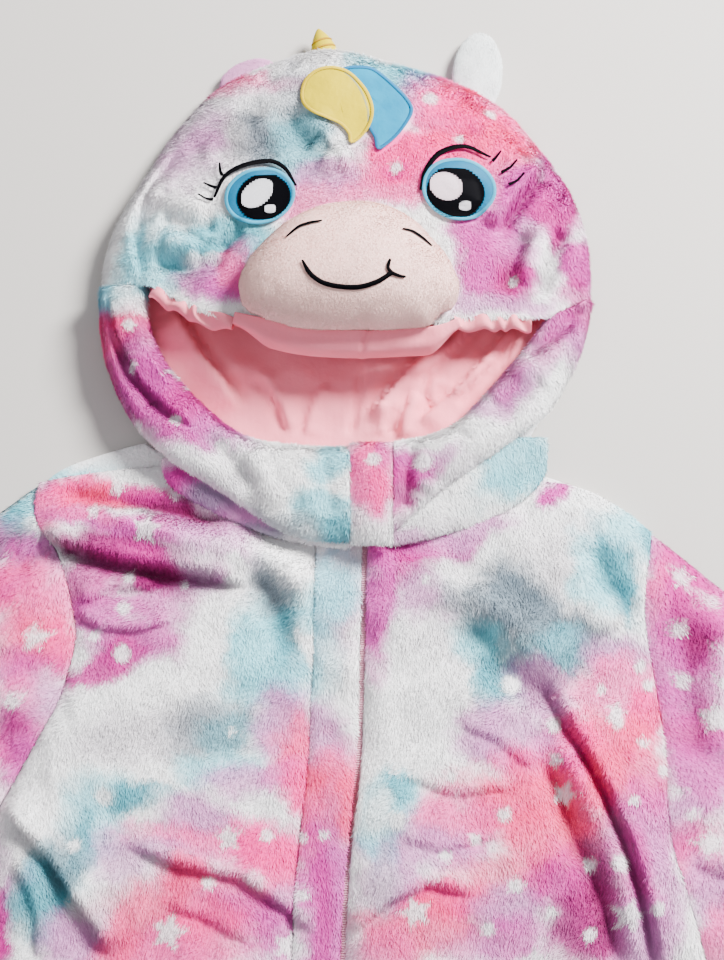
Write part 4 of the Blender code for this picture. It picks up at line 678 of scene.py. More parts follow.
def pileOn(name, cloth, settings):
    # blades of pile, one triangle each, scattered over the cloth and combed along a swirl
    settings = {**pileDefaults, **settings}
    mesh = cloth.data
    mesh.calc_loop_triangles()
    corner = np.empty(len(mesh.loop_triangles) * 3, np.int32)
    mesh.loop_triangles.foreach_get("vertices", corner)
    corner = corner.reshape(-1, 3)
    places, normals = placesOf(cloth), readVectors(mesh.vertex_normals, "vector")
    a, b, c = (places[corner[:, k]] for k in range(3))
    cross = np.cross(b - a, c - a)
    area = np.linalg.norm(cross, axis=1) / 2
    upward = cross[:, 2] / np.maximum(area * 2, 1e-9)
    middle = (a + b + c) / 3
    weight = area * (upward > settings["lowest"])
    weight *= np.where(middle[:, 1] > viewLow, 1, settings["far"])
    weight *= np.where(abs(middle[:, 0]) < viewSide, 1, blade["sides"])
    count = settings["count"] // 1
    picked = chance.choice(len(area), count, p=weight / weight.sum())
    r, s = chance.random(count), chance.random(count)
    flip = r + s > 1
    r, s = np.where(flip, 1 - r, r), np.where(flip, 1 - s, s)
    shares = np.c_[1 - r - s, r, s]
    root = sum(places[corner[picked, k]] * shares[:, k:k + 1] for k in range(3))
    normal = unit(sum(normals[corner[picked, k]] * shares[:, k:k + 1] for k in range(3)))
    keep = np.ones(count, bool)
    for cover, room in settings["covers"]:  # no pile under or beside what is sewn on
        for k in np.nonzero(keep)[0]:
            spot = Vector(root[k])
            keep[k] = cover.find_nearest(spot, room)[0] is None
            if keep[k] and settings["shaded"]:
                spot.z += 0.5
                keep[k] = cover.ray_cast(spot, Vector((0, 0, 1)), 60)[0] is None
    root, normal = root[keep], normal[keep]
    count = len(root)
    x, y = root[:, 0], root[:, 1]
    away = (y < viewLow) | (abs(x) > viewSide)
    swirl = 0.8 * softNoise(x, y, 30, 21) + 0.45 * softNoise(x, y, 9, 22) + settings["turn"]
    swirl += 0.24 * chance.standard_normal(count)
    lay = np.c_[np.sin(swirl), -np.cos(swirl), np.zeros(count)]
    lay = unit(lay - normal * (lay * normal).sum(1, keepdims=True), 1e-6)
    lean = np.where(away, blade["flat"], settings["lean"] + 0.16 * softNoise(x, y, 6, 23))
    lean = (lean + blade["stray"] * chance.standard_normal(count))[:, None]
    way = normal * np.cos(lean) + lay * np.sin(lean)
    coarse = np.where(away, blade["coarse"], 1.0)
    long = settings["long"] * chance.uniform(0.7, 1.2, count) * (0.7 + 0.3 * coarse)
    wide = settings["wide"] * chance.uniform(0.75, 1.25, count) * coarse
    side = unit(np.cross(normal, way), 1e-6)
    twist = 0.4 * chance.standard_normal(count)[:, None]
    side = side * np.cos(twist) + np.cross(normal, side) * np.sin(twist)
    root = root - normal * blade["depth"]
    root[:, 2] = np.maximum(root[:, 2], blade["depth"])
    tip = root + way * long[:, None]
    tip[:, 2] = np.maximum(tip[:, 2], blade["tipLow"])
    left, right = root - side * wide[:, None] / 2, root + side * wide[:, None] / 2
    face = np.cross(right - left, tip - left)
    facing = normal + (0, -0.15, 1.1)
    back = (face * facing).sum(1) < 0  # every blade's front looks up, towards the camera
    left[back], right[back] = right[back].copy(), left[back].copy()
    face[back] *= -1
    bent = unit(normal * 0.62 + unit(face) * 0.2 + (0, 0, 0.3))
    corners = np.stack([left, right, tip], 1).reshape(-1, 3)
    made = bpy.data.meshes.new(name)
    made.vertices.add(count * 3)
    made.vertices.foreach_set("co", rowFrame(corners).ravel())
    made.loops.add(count * 3)
    made.loops.foreach_set("vertex_index", np.arange(count * 3, dtype=np.int32))
    made.polygons.add(count)
    made.polygons.foreach_set("loop_start", np.arange(0, count * 3, 3, dtype=np.int32))
    made.update(calc_edges=True)
    if settings["plain"]:
        colours = np.tile(settings["plain"], (count, 1)).astype(float)
        colours *= (1 + 0.05 * softNoise(x, y, 6, 24))[:, None]
    else:
        spread = chance.standard_normal((count, 2)) * 0.7
        colours = dyeAndShadeColours(root + np.c_[spread, np.zeros(count)], settings["dye"])
    colours *= chance.uniform(0.9, 1.08, count)[:, None]
    # painted shade at each blade's root and painted light at its tip
    shade = np.array([blade["rootPaintedShade"], blade["rootPaintedShade"], blade["tipPaintedLight"]])
    colours = (colours[:, None, :] * shade[None, :, None]).reshape(-1, 3)
    setDyeAndShade(made, np.clip(colours, 0, 1))
    low = np.array([x.min(), y.min()]) - 2
    size = max(np.ptp(x), np.ptp(y)) + 4
    spot = (np.c_[x, y] - low) / size
    half = 0.75 / size
    fan = np.array([(-half, -half), (half, -half), (0, half)])
    sheet = made.uv_layers.new(name="OFBake")
    sheet.uv.foreach_set("vector", (spot[:, None, :] + fan[None]).reshape(-1))
    piece = newPiece(name, made, "plushPile")
    made.normals_split_custom_set_from_vertices(np.repeat(bent, 3, axis=0))
    return piece


def facingUp(name, places, faces, finish, merge=0.0):
    # a smooth piece made of faces that all look up
    made = bpy.data.meshes.new(name)
    made.from_pydata(rowFrame(places).tolist(), [], faces)
    work = bmesh.new()
    work.from_mesh(made)
    if merge:
        bmesh.ops.remove_doubles(work, verts=work.verts, dist=merge * mm)
    for item in work.faces:
        if item.normal.z < 0:
            item.normal_flip()
    work.to_mesh(made)
    work.free()
    made.shade_smooth()
    return newPiece(name, made, finish)


def threadPiece(name, pairs, finish, thick, arch):
    # satin stitches: each pair is the two ends of one thread, which bows over what is under it
    ends = np.array(pairs, float)
    start, end = ends[:, 0], ends[:, 1]
    along = end - start
    side = unit(np.c_[-along[:, 1], along[:, 0], np.zeros(len(along))])
    stations = (0.0, 0.25, 0.75, 1.0)
    rows = []
    for t in stations:
        middle = start + along * t + (0, 0, arch * math.sin(math.pi * t))
        width = thick / 2 * (0.7 if t in (0.0, 1.0) else 1)
        rows += [middle - side * width, middle + (0, 0, width * 1.2), middle + side * width]
    corners = np.stack(rows, 1)
    faces = np.array([(p, p + 1, p + 4, p + 3) for k in range(len(stations) - 1)
                      for p in (3 * k, 3 * k + 1)])
    every = (faces[None] + np.arange(len(ends))[:, None, None] * len(rows)).reshape(-1, 4)
    return facingUp(name, corners.reshape(-1, 3), every.tolist(), finish)


def evenly(points, step, closed=False):
    # a smooth line through the points, cut into even steps
    points = np.array(points, float)
    if closed:
        ring = np.vstack([points[-1], points, points[0], points[1]])
    else:
        ring = np.vstack([2 * points[0] - points[1], points, 2 * points[-1] - points[-2]])
    fine = []
    for k in range(1, len(ring) - 2):
        p0, p1, p2, p3 = ring[k - 1:k + 3]
        for t in np.linspace(0, 1, 16, endpoint=False):
            fine.append(0.5 * (2 * p1 + (p2 - p0) * t + (2 * p0 - 5 * p1 + 4 * p2 - p3) * t * t
                               + (3 * p1 - p0 - 3 * p2 + p3) * t ** 3))
    fine.append(ring[-2])
    fine = np.array(fine)
    run = np.r_[0, np.cumsum(np.linalg.norm(np.diff(fine, axis=0), axis=1))]
    places = np.linspace(0, run[-1], max(3, int(run[-1] / step)), endpoint=not closed)
    return np.c_[np.interp(places, run, fine[:, 0]), np.interp(places, run, fine[:, 1])]


def sideways(line, closed=False):
    ahead = np.roll(line, -1, 0) - np.roll(line, 1, 0) if closed else np.gradient(line, axis=0)
    ahead = unit(ahead)
    return np.c_[-ahead[:, 1], ahead[:, 0]]


def across(line, wide, tree, lift, closed=False):
    # the ends of stitches laid across a line on a slant, on the surface below
    slant = 0.25
    out = sideways(line, closed)
    run = np.c_[out[:, 1], -out[:, 0]] * slant
    pairs = []
    for spot, way, ahead, reach in zip(line, out, run, np.broadcast_to(wide, len(line))):
        pair = []
        for sign in (-1, 1):
            x, y = spot + (way + ahead) * sign * reach / 2
            z = topOf(tree, x, y)
            if z is not None:
                pair.append((x, y, z + lift))
        if len(pair) == 2:
            pairs.append(pair)
    return pairs


def patch(name, outline, centre, tree, lift, finish):
    # a flat appliqué with rounded edges, lying on the surface below
    thick, merge = 0.8, 0.005
    outline, centre = np.array(outline, float), np.array(centre, float)
    rings = ((0.0, 0), (0.3, 0), (0.55, 0), (0.78, 0), (0.92, 0), (0.985, 0.25), (1.0, 1.0))
    places, faces, count = [], [], len(outline)
    for share, drop in rings:
        for spot in outline:
            x, y = centre + (spot - centre) * share
            z = topOf(tree, x, y) or 0
            places.append((x, y, z + lift - drop * thick))
    for k in range(len(rings) - 1):
        for j in range(count):
            m = (j + 1) % count
            faces.append((k * count + j, (k + 1) * count + j, (k + 1) * count + m, k * count + m))
    return facingUp(name, places, faces, finish, merge)


def settle(piece, slot, *replaced):
    if replaced:
        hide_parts(*replaced)
    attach(piece, "root")
    return piece


def laid(piece, how, *extras):
    [how["rests"]] if "rests" in how else []


def rumple(x, y, size, height, seed):
    return height * (softNoise(x, y, size, seed) + 0.45 * softNoise(x, y, size * 0.4, seed + 1))


def bodyShape(points):
    x, y, z = points.T
    lift = foldHeight(x, y, bodyFolds) + rumple(x, y, 46, 3.0, 31) + 1.0 * softNoise(x, y, 15, 33)
    still, fade, inner = 4.2, 5, 3.3  # the wall's low side stays, and its top stays above that
    room = np.clip((z - still) / fade, 0, 1)
    least = np.where(z > inner - 0.1, inner + 0.1 * np.maximum(z - inner, 0), z)
    return np.c_[x, y, np.maximum(z + lift * room, least)]


body = {
    "frontLeft": dict(node="front_left", dye="frontL", shape=bodyShape, fine=True, count=114000,
                      far=0.2, flat=(0.236, 1.09), area=0.207, rests="backLeft"),
    "frontRight": dict(node="front_right", dye="frontR", shape=bodyShape, fine=True,
                       count=119000, far=0.2, flat=(0.247, 1.08), area=0.220,
                       rests="backRight"),
    "sleeveLeft": dict(node="sleeve_left", dye="sleeveL", shape=bodyShape, count=26000, far=0.2,
                       turn=-0.5, flat=(0.30, 0.32), area=0.090),
    "sleeveRight": dict(node="sleeve_right", dye="sleeveR", shape=bodyShape, count=32000,
                        far=0.2, turn=0.6, flat=(0.33, 0.37), area=0.109),
    "zipPlacket": dict(node="zip_placket", dye="placket", shape=bodyShape, fine=True,
                       count=20000, far=0.2, flat=(0.031, 0.645), rests="frontLeft"),
    "backLeft": dict(node="back_left", dye="back", count=7000, far=0.6, flat=(0.24, 1.106),
                     area=0.2265),
    "backRight": dict(node="back_right", dye="back", count=6000, far=0.6, flat=(0.236, 1.093),
                      area=0.2155),
}


def makePlush(name, how):
    # a plush piece: the cloth, and its pile as a piece of its own
    cloth = clothCopy(name, how["node"], "plushCloth", fine=how.get("fine", False))
    if "shape" in how:
        reshape(cloth, how["shape"])
    paint(cloth, how["dye"])
    settle(cloth, "plush", how["node"])
    return cloth, settle(pileOn(name + "Pile", cloth, how), "plush")


plushPieces = {}
for name, how in body.items():
    plushPieces[name] = makePlush(name, how)
    say(name)

coil = dict(low=-596, high=14, pitch=1.45, half=1.9, slant=0.3, lift=0.1)
zipTape = clothCopy("zipTape", "zip_tape", "zipPink", 1)
settle(zipTape, "zip_tape", "zip_tape")
tapePoints = placesOf(zipTape)
pairs = []
for y in np.arange(coil["low"], coil["high"], coil["pitch"]):
    near = tapePoints[abs(tapePoints[:, 1] - y) < 22]
    if len(near):
        x, z = (near[:, 0].min() + near[:, 0].max()) / 2, near[:, 2].max() + coil["lift"]
        pairs.append(((x - coil["half"], y, z), (x + coil["half"], y + coil["slant"], z)))
zipCoil = settle(threadPiece("zipCoil", pairs, "zipPink", 1.0, 0.9), "zip_tape")
nodes["zip_slider"].data.materials.clear()
nodes["zip_slider"].data.materials.append(metal.material)

liningFolds = readFolds("""
-3.75 2.5 0 2 112 -3 88 -8 62; 10 20 -1 -122 150 -104 118 -88 98 -78 80; 9 18 1 54 132 28 106 2 74
7.5 9 1 100 140 86 122 74 108 60 92; 6.75 8 -1 78 148 64 126 48 110 32 98; 6 7 1 66 98 52 86 36 72
6 7 -1 88 114 74 100 58 86; 6 7 1 34 94 27 78 24 62; 6 10 1 -66 106 -54 84 -46 64
4.5 9 1 -26 100 -34 82 -38 62; 3.75 8 0 -92 112 -60 104 -28 112; 6 8 1 112 144 98 122 92 104
4.5 6 1 46 104 42 92 48 80; 4.5 6 -1 18 84 14 74 16 64
""")


def hoodShape(points):
    x, y, z = points.T
    lift = foldHeight(x, y, hoodFolds) + rumple(x, y, 30, 1.7, 41) + 0.7 * softNoise(x, y, 12, 43)
    muzzleGap = np.hypot((x + 8) / 1.15, y - 158)  # folds die out near the table and muzzle
    calm = smoothStep(6, 20, z) * smoothStep(60, 76, muzzleGap)
    return np.c_[x, y, z + lift * calm]


def rimShape(points):
    x, y, z = points.T
    lift = foldHeight(x, y, rimFolds) + rumple(x, y, 24, 1.2, 51) + 0.4 * softNoise(x, y, 9, 53)
    return np.c_[x, y, z + lift * smoothStep(12, 30, z)]


def neckShape(points):
    x, y, z = points.T
    return np.c_[x, y, z + rumple(x, y, 26, 0.9, 61) * smoothStep(14, 19, z)]


def liningShape(points):
    x, y, z = points.T
    lowest, highest = 4.2, 24.0  # it stays over the hood's back and under the rims
    pucker = 0.9 * softNoise(x + y * 0.5, y * 0.6, 8, 71) * smoothStep(-10, 40, x)
    lift = foldHeight(x, y, liningFolds) + rumple(x, y, 20, 0.7, 73) + pucker
    lift = np.minimum(lift, np.maximum(highest - z, 0))
    return np.c_[x, y, z + np.maximum(lift, lowest - z) * smoothStep(4.3, 6.5, z)]


def rollShape(points):
    # the lining roll is gathered by elastic: short pleats across it
    x, y, z = points.T
    pleats = 1.3 * np.sin(x / 1.9 + 2.6 * softNoise(x, y, 11, 81)) + 2.0 * softNoise(x, y, 9, 83)
    reach = 5 * smoothStep(-100, -85, x) * (x < 0) - 6 * smoothStep(80, 66, x) * (x > 0)
    return np.c_[x + reach, y + 1.2 + 0.4 * pleats, z + 1.3 * pleats + 0.8 * abs(reach)]


def underShape(points):
    x, y, z = points.T
    dart = -2.0 * np.exp(-((x - 2 - (y - 114) * 0.4) / 1.6) ** 2)  # a narrow slanting crease
    up = smoothStep(38, 49, z)  # its upper edge is sewn to the muzzle's lower one
    ends = smoothStep(50, 72, abs(x + 8))
    edge = 121 + 0.0022 * (x + 8) ** 2
    y = y + 3.6 * up - 1.5 * (1 - up)
    y = y + (edge - y) * 0.72 * ends * (1 - up)
    bulge = 2.2 * np.sin(np.pi * up) * (1 - ends)
    return np.c_[x, y - bulge * 0.4, z + 3.4 * up + 4.0 * ends * (1 - up) + bulge + dart
                 + 0.8 * softNoise(x, y, 14, 91)]


linings = {
    "hoodLining": dict(node="hood_lining", fine=True, shape=liningShape, flat=(0.292, 0.187),
                       area=0.048, rests="hoodBack"),
    "faceLining": dict(node="face_lining", shape=hoodShape, flat=(0.296, 0.14), area=0.0312,
                       rests="hoodFace"),
    "brimLiningLeft": dict(node="brim_lining_left", level=3, shape=rollShape,
                           flat=(0.0195, 0.062), rests="hoodFace"),
    "brimLiningRight": dict(node="brim_lining_right", level=3, shape=rollShape,
                            flat=(0.0195, 0.050), rests="hoodFace"),
    "muzzleUnder": dict(node="muzzle_under", fine=True, shape=underShape, flat=(0.0259, 0.150),
                        rests="hoodFace"),
}
for name, how in linings.items():
    piece = clothCopy(name, how["node"], "pinkLining", how.get("level", 2), how.get("fine", False))
    reshape(piece, how["shape"])
    laid(settle(piece, "lining", how["node"]), how)
say("lining")


def muzzleShape(points):
    # the lower right corner is drawn in by its seam
    x, y, z = points.T
    corner = smoothStep(34, 62, x) * smoothStep(148, 122, y)
    return np.c_[x - 7 * corner, y + 3 * corner, z]


# The muzzle: a cushion puffed out by cloth pressure, with how far the cloth may move kept small.
muzzleSettings = dict(voxel=5.0, pressure=4.0, furthest=2.6, seam=57, steps=20)
muzzle = clothCopy("muzzleCushion", "muzzle", "muzzlePlush", 0)
remesh = muzzle.modifiers.new("even", "REMESH")
remesh.mode, remesh.voxel_size = "VOXEL", muzzleSettings["voxel"] * mm
muzzle.data = baked(muzzle)
muzzle.data.materials.clear()
muzzle.data.materials.append(muzzlePlush.material)
before = placesOf(muzzle)
seam = [int(k) for k in np.nonzero(before[:, 2] < muzzleSettings["seam"])[0]]
muzzle.vertex_groups.new(name="seam").add(seam, 1.0, "REPLACE")
cloth = muzzle.modifiers.new("cloth", "CLOTH")
cloth.settings.use_pressure = True
cloth.settings.uniform_pressure_force = muzzleSettings["pressure"]
cloth.settings.effector_weights.gravity = 0
cloth.settings.vertex_group_mass = "seam"
cloth.point_cache.frame_end = muzzleSettings["steps"]
for step in range(1, muzzleSettings["steps"] + 1):
    bpy.context.scene.frame_set(step)
moved = garment(readVectors(baked(muzzle).vertices, "co")) - before
far = np.linalg.norm(moved, axis=1, keepdims=True)
moved *= np.minimum(1, muzzleSettings["furthest"] / np.maximum(far, 1e-6))
muzzle.data.vertices.foreach_set("co", rowFrame(before + moved).ravel())
bpy.context.scene.frame_set(1)
rounder = muzzle.modifiers.new("rounder", "SUBSURF")
rounder.levels = rounder.render_levels = 1
muzzle.data = baked(muzzle)
muzzle.data.shade_smooth()
reshape(muzzle, muzzleShape)
settle(muzzle, "muzzle_plush", "muzzle")
say("muzzle")

# Embroidery on the face: place, half sizes and tilt of each eye part.
eyes = {
    "eyeLeft": dict(iris=(-65.5, 212.3, 21.8, 18.2, 8), pupil=(-63.0, 211.2, 17.2, 14.8, 8),
                    big=(-67.2, 213.2, 11.4, 7.8, 45), small=(-58.6, 202.6, 3.4, 2.8, 0),
                    lid=[(-95, 213), (-86, 229), (-63, 236.5), (-50, 231), (-42.5, 219)],
                    lashes=[[(-90, 227.5), (-91.5, 231), (-92.2, 237)],
                            [(-94, 219), (-99, 221.5), (-102, 223.4)],
                            [(-96, 211.5), (-101, 212), (-105, 214.4)]]),
    "eyeRight": dict(iris=(62.3, 217.5, 22.8, 20.6, -8), pupil=(60.0, 214.6, 18.6, 16.6, -8),
                     big=(53.8, 217.9, 10.6, 9.2, -35), small=(65.9, 204.8, 3.8, 3.0, 0),
                     lid=[(37.5, 216), (41, 229), (51, 243), (66, 248), (83, 241)],
                     lashes=[[(84.5, 238), (87, 241), (90, 245.6)],
                             [(90, 229.5), (96, 234), (100.5, 240)],
                             [(94.5, 221), (100, 224), (104.5, 229.5)]]),
}
forelocks = {
    "forelockBlue": dict(lift=2.0, points=[
        (-12, 303.5), (-2.6, 306.5), (6.5, 306.2), (13.7, 300.9), (21.6, 292.6), (28.7, 283.7),
        (32.4, 274.7), (28.6, 264.4), (22.7, 254.8), (15.6, 247.3), (10.4, 244.2), (8.7, 252.8),
        (4.5, 262), (3.5, 274), (-0.5, 287), (-6, 296)]),
    "forelockYellow": dict(lift=2.9, points=[
        (-6.5, 248.2), (-8.2, 255.5), (-13.7, 262.6), (-22, 267), (-31.2, 271.3), (-37.8, 278),
        (-39, 286.4), (-36.6, 295.4), (-29, 302.4), (-19.0, 304.4), (-10, 301.8),
        (-2.6, 295.2), (3.3, 286.4), (6.5, 275.0), (5.4, 264), (0.2, 254.3)]),
}
smile = [(-36.5, 157.0), (-31, 148), (-21, 142.2), (-4, 140.4), (9, 143.6), (18.5, 149.5)]
smileHook = [(17.2, 157.5), (16.0, 152.5), (18.5, 149.2), (23, 147.6), (26.5, 147.2)]
nostrils = {"nostrilLeft": [(-46.6, 175.2), (-39, 181.5), (-32, 183.4), (-24.9, 184.1)],
            "nostrilRight": [(25.5, 179.9), (31.5, 179.4), (37.5, 176.2), (43.5, 171.5)]}


def oval(shape, count=48):
    x, y, wide, high, tilt = shape
    a = np.linspace(0, 2 * math.pi, count, endpoint=False)
    u, v = turned(wide * np.cos(a), high * np.sin(a), tilt)
    return np.c_[x + u, y + v]


hoodFace = clothCopy("hoodFace", "hood_face", "plushCloth", fine=True)
reshape(hoodFace, hoodShape)
paint(hoodFace, "hood")
settle(hoodFace, "plush", "hood_face")
faceTree, muzzleTree = treeOf(hoodFace), treeOf(muzzle)
trims = []
stitchStep, outlineStep = ((0.62, 1.6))


def sewPatch(name, outline, centre, lift, finish, slot, *replaced):
    piece = patch(name, outline, centre, faceTree, lift, finish)
    trims.append(settle(piece, slot, *replaced))


def sewThreads(name, pairs, finish, thick, arch, slot, *replaced):
    trims.append(settle(threadPiece(name, pairs, finish, thick, arch), slot, *replaced))


def onFace(x, y, lift):
    return x, y, (topOf(faceTree, x, y) or 0) + lift


def satinFill(outline, axis, start, stop, reach, lift):
    # threads side by side across an outline; axis is the one that they step along
    threads = []
    for place in np.arange(start, stop, stitchStep):
        row = outline[abs(outline[:, axis] - place) < reach]
        if len(row) > 1:
            ends = row[:, 1 - axis].min(), row[:, 1 - axis].max()
            threads.append([onFace(*((end, place) if axis else (place, end)), lift)
                            for end in ends])
    return threads


def swell(line, wide, start, end):
    # a line's width: full in the middle and thin at its ends
    return wide * np.sin(np.linspace(start, end, len(line))) ** 0.6


for name, eye in eyes.items():
    base = name.replace("eye", "eye_").lower()
    iris, pupil = oval(eye["iris"]), oval(eye["pupil"])
    middle, half = np.array(eye["pupil"][:2]), np.array(eye["pupil"][2:4])
    sewPatch(name + "Iris", iris, eye["iris"][:2], 2.2, "satinTeal", "satin_blue",
             base + "_iris")
    sewPatch(name + "Pupil", pupil, middle, 2.9, "threadBlack", "satin_black", base + "_pupil")
    ring = evenly(iris, stitchStep, True)
    pairs = []
    for spot in ring:  # from the iris's edge to the pupil's
        way = middle - spot
        share = next(t for t in np.linspace(0, 1, 60)
                     if np.hypot(*((spot + way * t - middle) / half)) < 1.0)
        pairs.append([onFace(*end, 2.5) for end in (spot, spot + way * share)])
    sewThreads(name + "Ring", pairs, "threadTeal", 0.75, 0.25, "satin_blue")
    sewThreads(name + "Border", across(ring, 2.4, faceTree, 2.8, True), "threadSky", 0.75, 0.35,
               "satin_blue")
    rows = satinFill(pupil, 1, middle[1] - half[1], middle[1] + half[1], 1.6, 3.2)
    sewThreads(name + "PupilFill", rows, "threadBlack", 0.75, 0.25, "satin_black")
    for glint in ("big", "small"):
        sheen = oval(eye[glint], 32)
        pale = "glintPink" if name == "eyeRight" and glint == "big" else "threadWhite"
        title = name + "Glint" + glint.title()
        sewPatch(title, sheen, eye[glint][:2], 4.0, pale, "satin_white",
                 base + "_glint_" + glint)
        rows = satinFill(sheen, 0, sheen[:, 0].min() + 0.2, sheen[:, 0].max(), 1.1, 4.2)
        sewThreads(title + "Fill", rows, pale, 0.7, 0.25, "satin_white")
    line = evenly(eye["lid"], stitchStep)
    taper = swell(line, 3.6, 0.3, math.pi - 0.25)
    sewThreads(name + "Lid", across(line, taper, faceTree, 2.6), "threadBlack", 0.8, 0.45,
               "thread_black", base + "_lid")
    for k, lash in enumerate(eye["lashes"], 1):
        line = evenly(lash, stitchStep)
        taper = np.linspace(2.3, 1.2, len(line))
        sewThreads(name + "Lash%d" % k, across(line, taper, faceTree, 2.8), "threadBlack", 0.8,
                   0.6, "thread_black", base + "_lash_%d" % k)
for name, lock in forelocks.items():
    colour = name.replace("forelock", "")
    line = evenly(lock["points"], outlineStep, True)
    sewPatch(name, line, line.mean(0), lock["lift"], "satin" + colour,
             "satin_" + colour.lower(), "forelock_" + colour.lower())
    line = evenly(lock["points"], stitchStep, True)
    sewThreads(name + "Border", across(line, 2.3, faceTree, lock["lift"] + 0.35, True),
               "thread" + colour, 0.7, 0.4, "satin_" + colour.lower())
line = evenly(smile, stitchStep)
taper = 2.9 * np.minimum(1, 0.45 + 5 * np.linspace(0, 1, len(line)))
pairs = across(line, taper, muzzleTree, 0.9)
line = evenly(smileHook, stitchStep)
pairs += across(line, swell(line, 2.4, 0.5, 2.7), muzzleTree, 0.95)
sewThreads("smile", pairs, "threadBlack", 0.85, 0.8, "thread_black", "mouth", "mouth_tick")
for name, points in nostrils.items():
    line = evenly(points, stitchStep)
    sewThreads(name, across(line, swell(line, 2.3, 0.35, 2.8), muzzleTree, 0.9), "threadBlack",
               0.8, 0.7, "thread_black", name.replace("nostril", "nostril_").lower())
say("embroidery")


def trimsNamed(*words):
    return [trim for trim in trims if any(word in trim.name for word in words)]


lineTrims, mouthTrims = trimsNamed("Lid", "Lash"), trimsNamed("smile", "nostril")
flatTrims = [trim for trim in trims if trim not in lineTrims + mouthTrims]
facePile = pileOn("hoodFacePile", hoodFace, dict(
    dye="hood", count=142000, wide=0.82, lowest=-0.2, shaded=True,
    covers=((treeOf(*flatTrims), 2.6), (treeOf(*lineTrims), 2.3), (muzzleTree, 0.8))))
settle(facePile, "plush")
muzzlePile = pileOn("muzzlePile", muzzle, dict(
    plain=(0.88, 0.57, 0.52), count=52000, long=1.3, wide=0.5, lowest=-0.3, lean=0.8,
    covers=((treeOf(*mouthTrims), 0.9),)))
settle(muzzlePile, "muzzle_plush")
say("face pile")

hoodParts = {
    "hoodBack": dict(node="hood_back", dye="back", count=3000, flat=(0.312, 0.27),
                     area=0.0715),
    "rimLeft": dict(node="rim_left", dye="rimL", shape=rimShape, fine=True, lowest=-0.35,
                    count=58000, flat=(0.06, 0.245), rests="hoodLining"),
    "rimRight": dict(node="rim_right", dye="rimR", shape=rimShape, fine=True, lowest=-0.35,
                     count=46000, flat=(0.045, 0.21), rests="hoodLining"),
    "neckLeft": dict(node="neck_left", dye="neckL", shape=neckShape, fine=True, lowest=-0.35,
                     count=12000, flat=(0.025, 0.13), rests="frontLeft"),
    "neckRight": dict(node="neck_right", dye="neckR", shape=neckShape, fine=True, lowest=-0.35,
                      count=14000, flat=(0.032, 0.125), rests="frontRight"),
    "neckFlap": dict(node="neck_flap", dye="flap", fine=True, lowest=-0.35, count=8000,
                     flat=(0.028, 0.082), rests="rimLeft"),
}
for name, how in hoodParts.items():
    cloth, fluff = makePlush(name, how)
    laid(cloth, how, fluff)
say("hood parts")

# Horn and ears: stuffed, tucked under the crown; an ear is a full, rounded cushion.
horn = clothCopy("hornCushion", "horn", "satinYellow", sharp=9)
hornTree = treeOf(horn)
settle(horn, "satin_yellow", "horn")
ears = {
    "earLeft": dict(node="ear_left", place=(-77.0, 309.6), half=(20, 11.5), turn=25,
                    plain=(0.60, 0.26, 0.50), count=6500),
    # the right ear is white plush; its pale grey colour is painted shade
    "earRight": dict(node="ear_right", place=(77.8, 312.0), half=(16.4, 29.5), turn=-5,
                     plain=(0.72, 0.75, 0.76), count=11000),
}


def ball(around=40, rings=24):
    # a unit ball whose corners always come in the same order, so the pile on it does too
    corners, faces = [(0, 0, -1)], []
    for k in range(1, rings):
        up = math.pi * (k / rings - 0.5)
        corners += [(math.cos(up) * math.cos(2 * math.pi * j / around),
                     math.cos(up) * math.sin(2 * math.pi * j / around), math.sin(up))
                    for j in range(around)]
    top = len(corners)
    for j in range(around):
        m = (j + 1) % around
        faces += [(0, 1 + m, 1 + j), (top, top - around + j, top - around + m)]
        for row in range(1, top - around, around):
            faces.append((row + j, row + m, row + around + m, row + around + j))
    return corners + [(0, 0, 1)], faces


for name, ear in ears.items():
    high = placesOf(nodes[ear["node"]])[:, 2]
    made = bpy.data.meshes.new(name)
    corners, faces = ball()
    made.from_pydata(corners, [], faces)
    piece = newPiece(name, made, "plushCloth")
    u, v, w = readVectors(made.vertices, "co").T
    u, v = turned(u * ear["half"][0], v * ear["half"][1], ear["turn"])
    w = (high.max() + high.min()) / 2 + w * (high.max() - high.min()) / 2
    made.vertices.foreach_set("co", rowFrame(np.c_[
        ear["place"][0] + u, ear["place"][1] + v, w]).ravel())
    made.shade_smooth()
    made.update()
    setDyeAndShade(made, np.tile(ear["plain"], (len(made.vertices), 1)))
    settle(piece, "ear_plush", ear["node"])
    settle(pileOn(name + "Pile", piece, dict(
        plain=ear["plain"], count=ear["count"], long=2.4, wide=0.7, turn=math.pi,
        lowest=-0.5)), "ear_plush")

# Stitched rings wind up the horn on a slant; the step is along x, from side to side.
hornRings = dict(rows=(313.5, 319.5, 325.0, 330.5), sides=(-46, -18), middle=-32, slant=0.28,
                 lowest=8, half=(0.3, 0.8), lift=0.1)
rings = []
for low in hornRings["rows"]:
    for x in np.arange(*hornRings["sides"], stitchStep):
        y = low + (x - hornRings["middle"]) * hornRings["slant"]
        top = topOf(hornTree, x, y)
        if top and top > hornRings["lowest"]:
            rings.append([(x + sign * hornRings["half"][0], y + sign * hornRings["half"][1],
                           top + hornRings["lift"]) for sign in (-1, 1)])
settle(threadPiece("hornRings", rings, "threadGold", 0.8, 0.3), "satin_yellow")

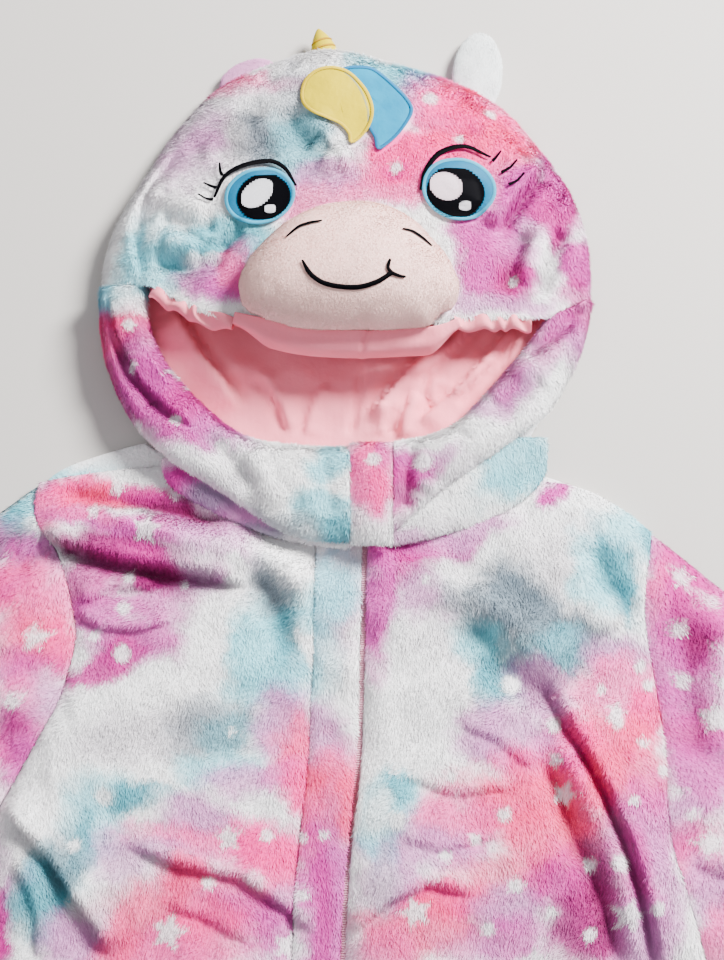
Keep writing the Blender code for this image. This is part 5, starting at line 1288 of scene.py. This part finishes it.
laid(hoodFace, dict(flat=(0.33, 0.205), area=0.0565, rests="hoodBack"), facePile, *trims)
for name, (cloth, fluff) in plushPieces.items():
    laid(cloth, body[name], fluff)
laid(zipTape, dict(flat=(0.0112, 0.618), rests="backLeft"), zipCoil)

floorFinish = Finish("paleFloor", (0.49, 0.467, 0.447),
                     {"Roughness": 0.6, "Specular IOR Level": 0.2})
bpy.ops.mesh.primitive_plane_add(size=12, location=(0, 0, -0.0004))
floor = bpy.context.object
floor.name = "floor"
floor.data.materials.append(floorFinish.material)

view = dict(target=(0, 0.387, 0), away=1.1, elevation=80, height=0.624, sensor=24)
target = Vector(view["target"])
lights = {
    "key": dict(place=(1.15, 0.95, 1.25), size=0.7, power=195, colour=(1.0, 0.985, 0.965)),
    "fill": dict(place=(-1.3, -0.8, 2.2), size=2.2, power=16, colour=(0.97, 0.98, 1.0)),
}
lamps = []
for name, how in lights.items():
    light = bpy.data.lights.new(name, "AREA")
    light.shape, light.size = "DISK", how["size"]
    light.energy, light.color = how["power"], how["colour"]
    lamp = bpy.data.objects.new(name, light)
    lamp.location = target + Vector(how["place"])
    lamp.rotation_euler = (target - lamp.location).to_track_quat("-Z", "Y").to_euler()
    bpy.context.scene.collection.objects.link(lamp)
    lamps.append(lamp)
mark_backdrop(floor, *lamps)
world = bpy.data.worlds.new("studio")
world.use_nodes = True
backdrop = world.node_tree.nodes["Background"].inputs
backdrop[0].default_value, backdrop[1].default_value = (0.95, 0.96, 1.0, 1), 0.54
bpy.context.scene.world = world

lens = bpy.data.cameras.new("camera")
lens.sensor_fit, lens.sensor_height = "VERTICAL", view["sensor"]
lens.lens = view["sensor"] * view["away"] / view["height"]
lens.clip_start = 0.01
camera = bpy.data.objects.new("camera", lens)
rise = math.radians(view["elevation"])
camera.location = target + view["away"] * Vector((0, -math.cos(rise), math.sin(rise)))
camera.rotation_euler = (math.pi / 2 - rise, 0, 0)
bpy.context.scene.collection.objects.link(camera)
bpy.context.scene.camera = camera
say("light and camera")

triangles = sum(sum(len(f.vertices) - 2 for f in o.data.polygons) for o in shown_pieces()
                if o.type == "MESH")
print("triangles", triangles)
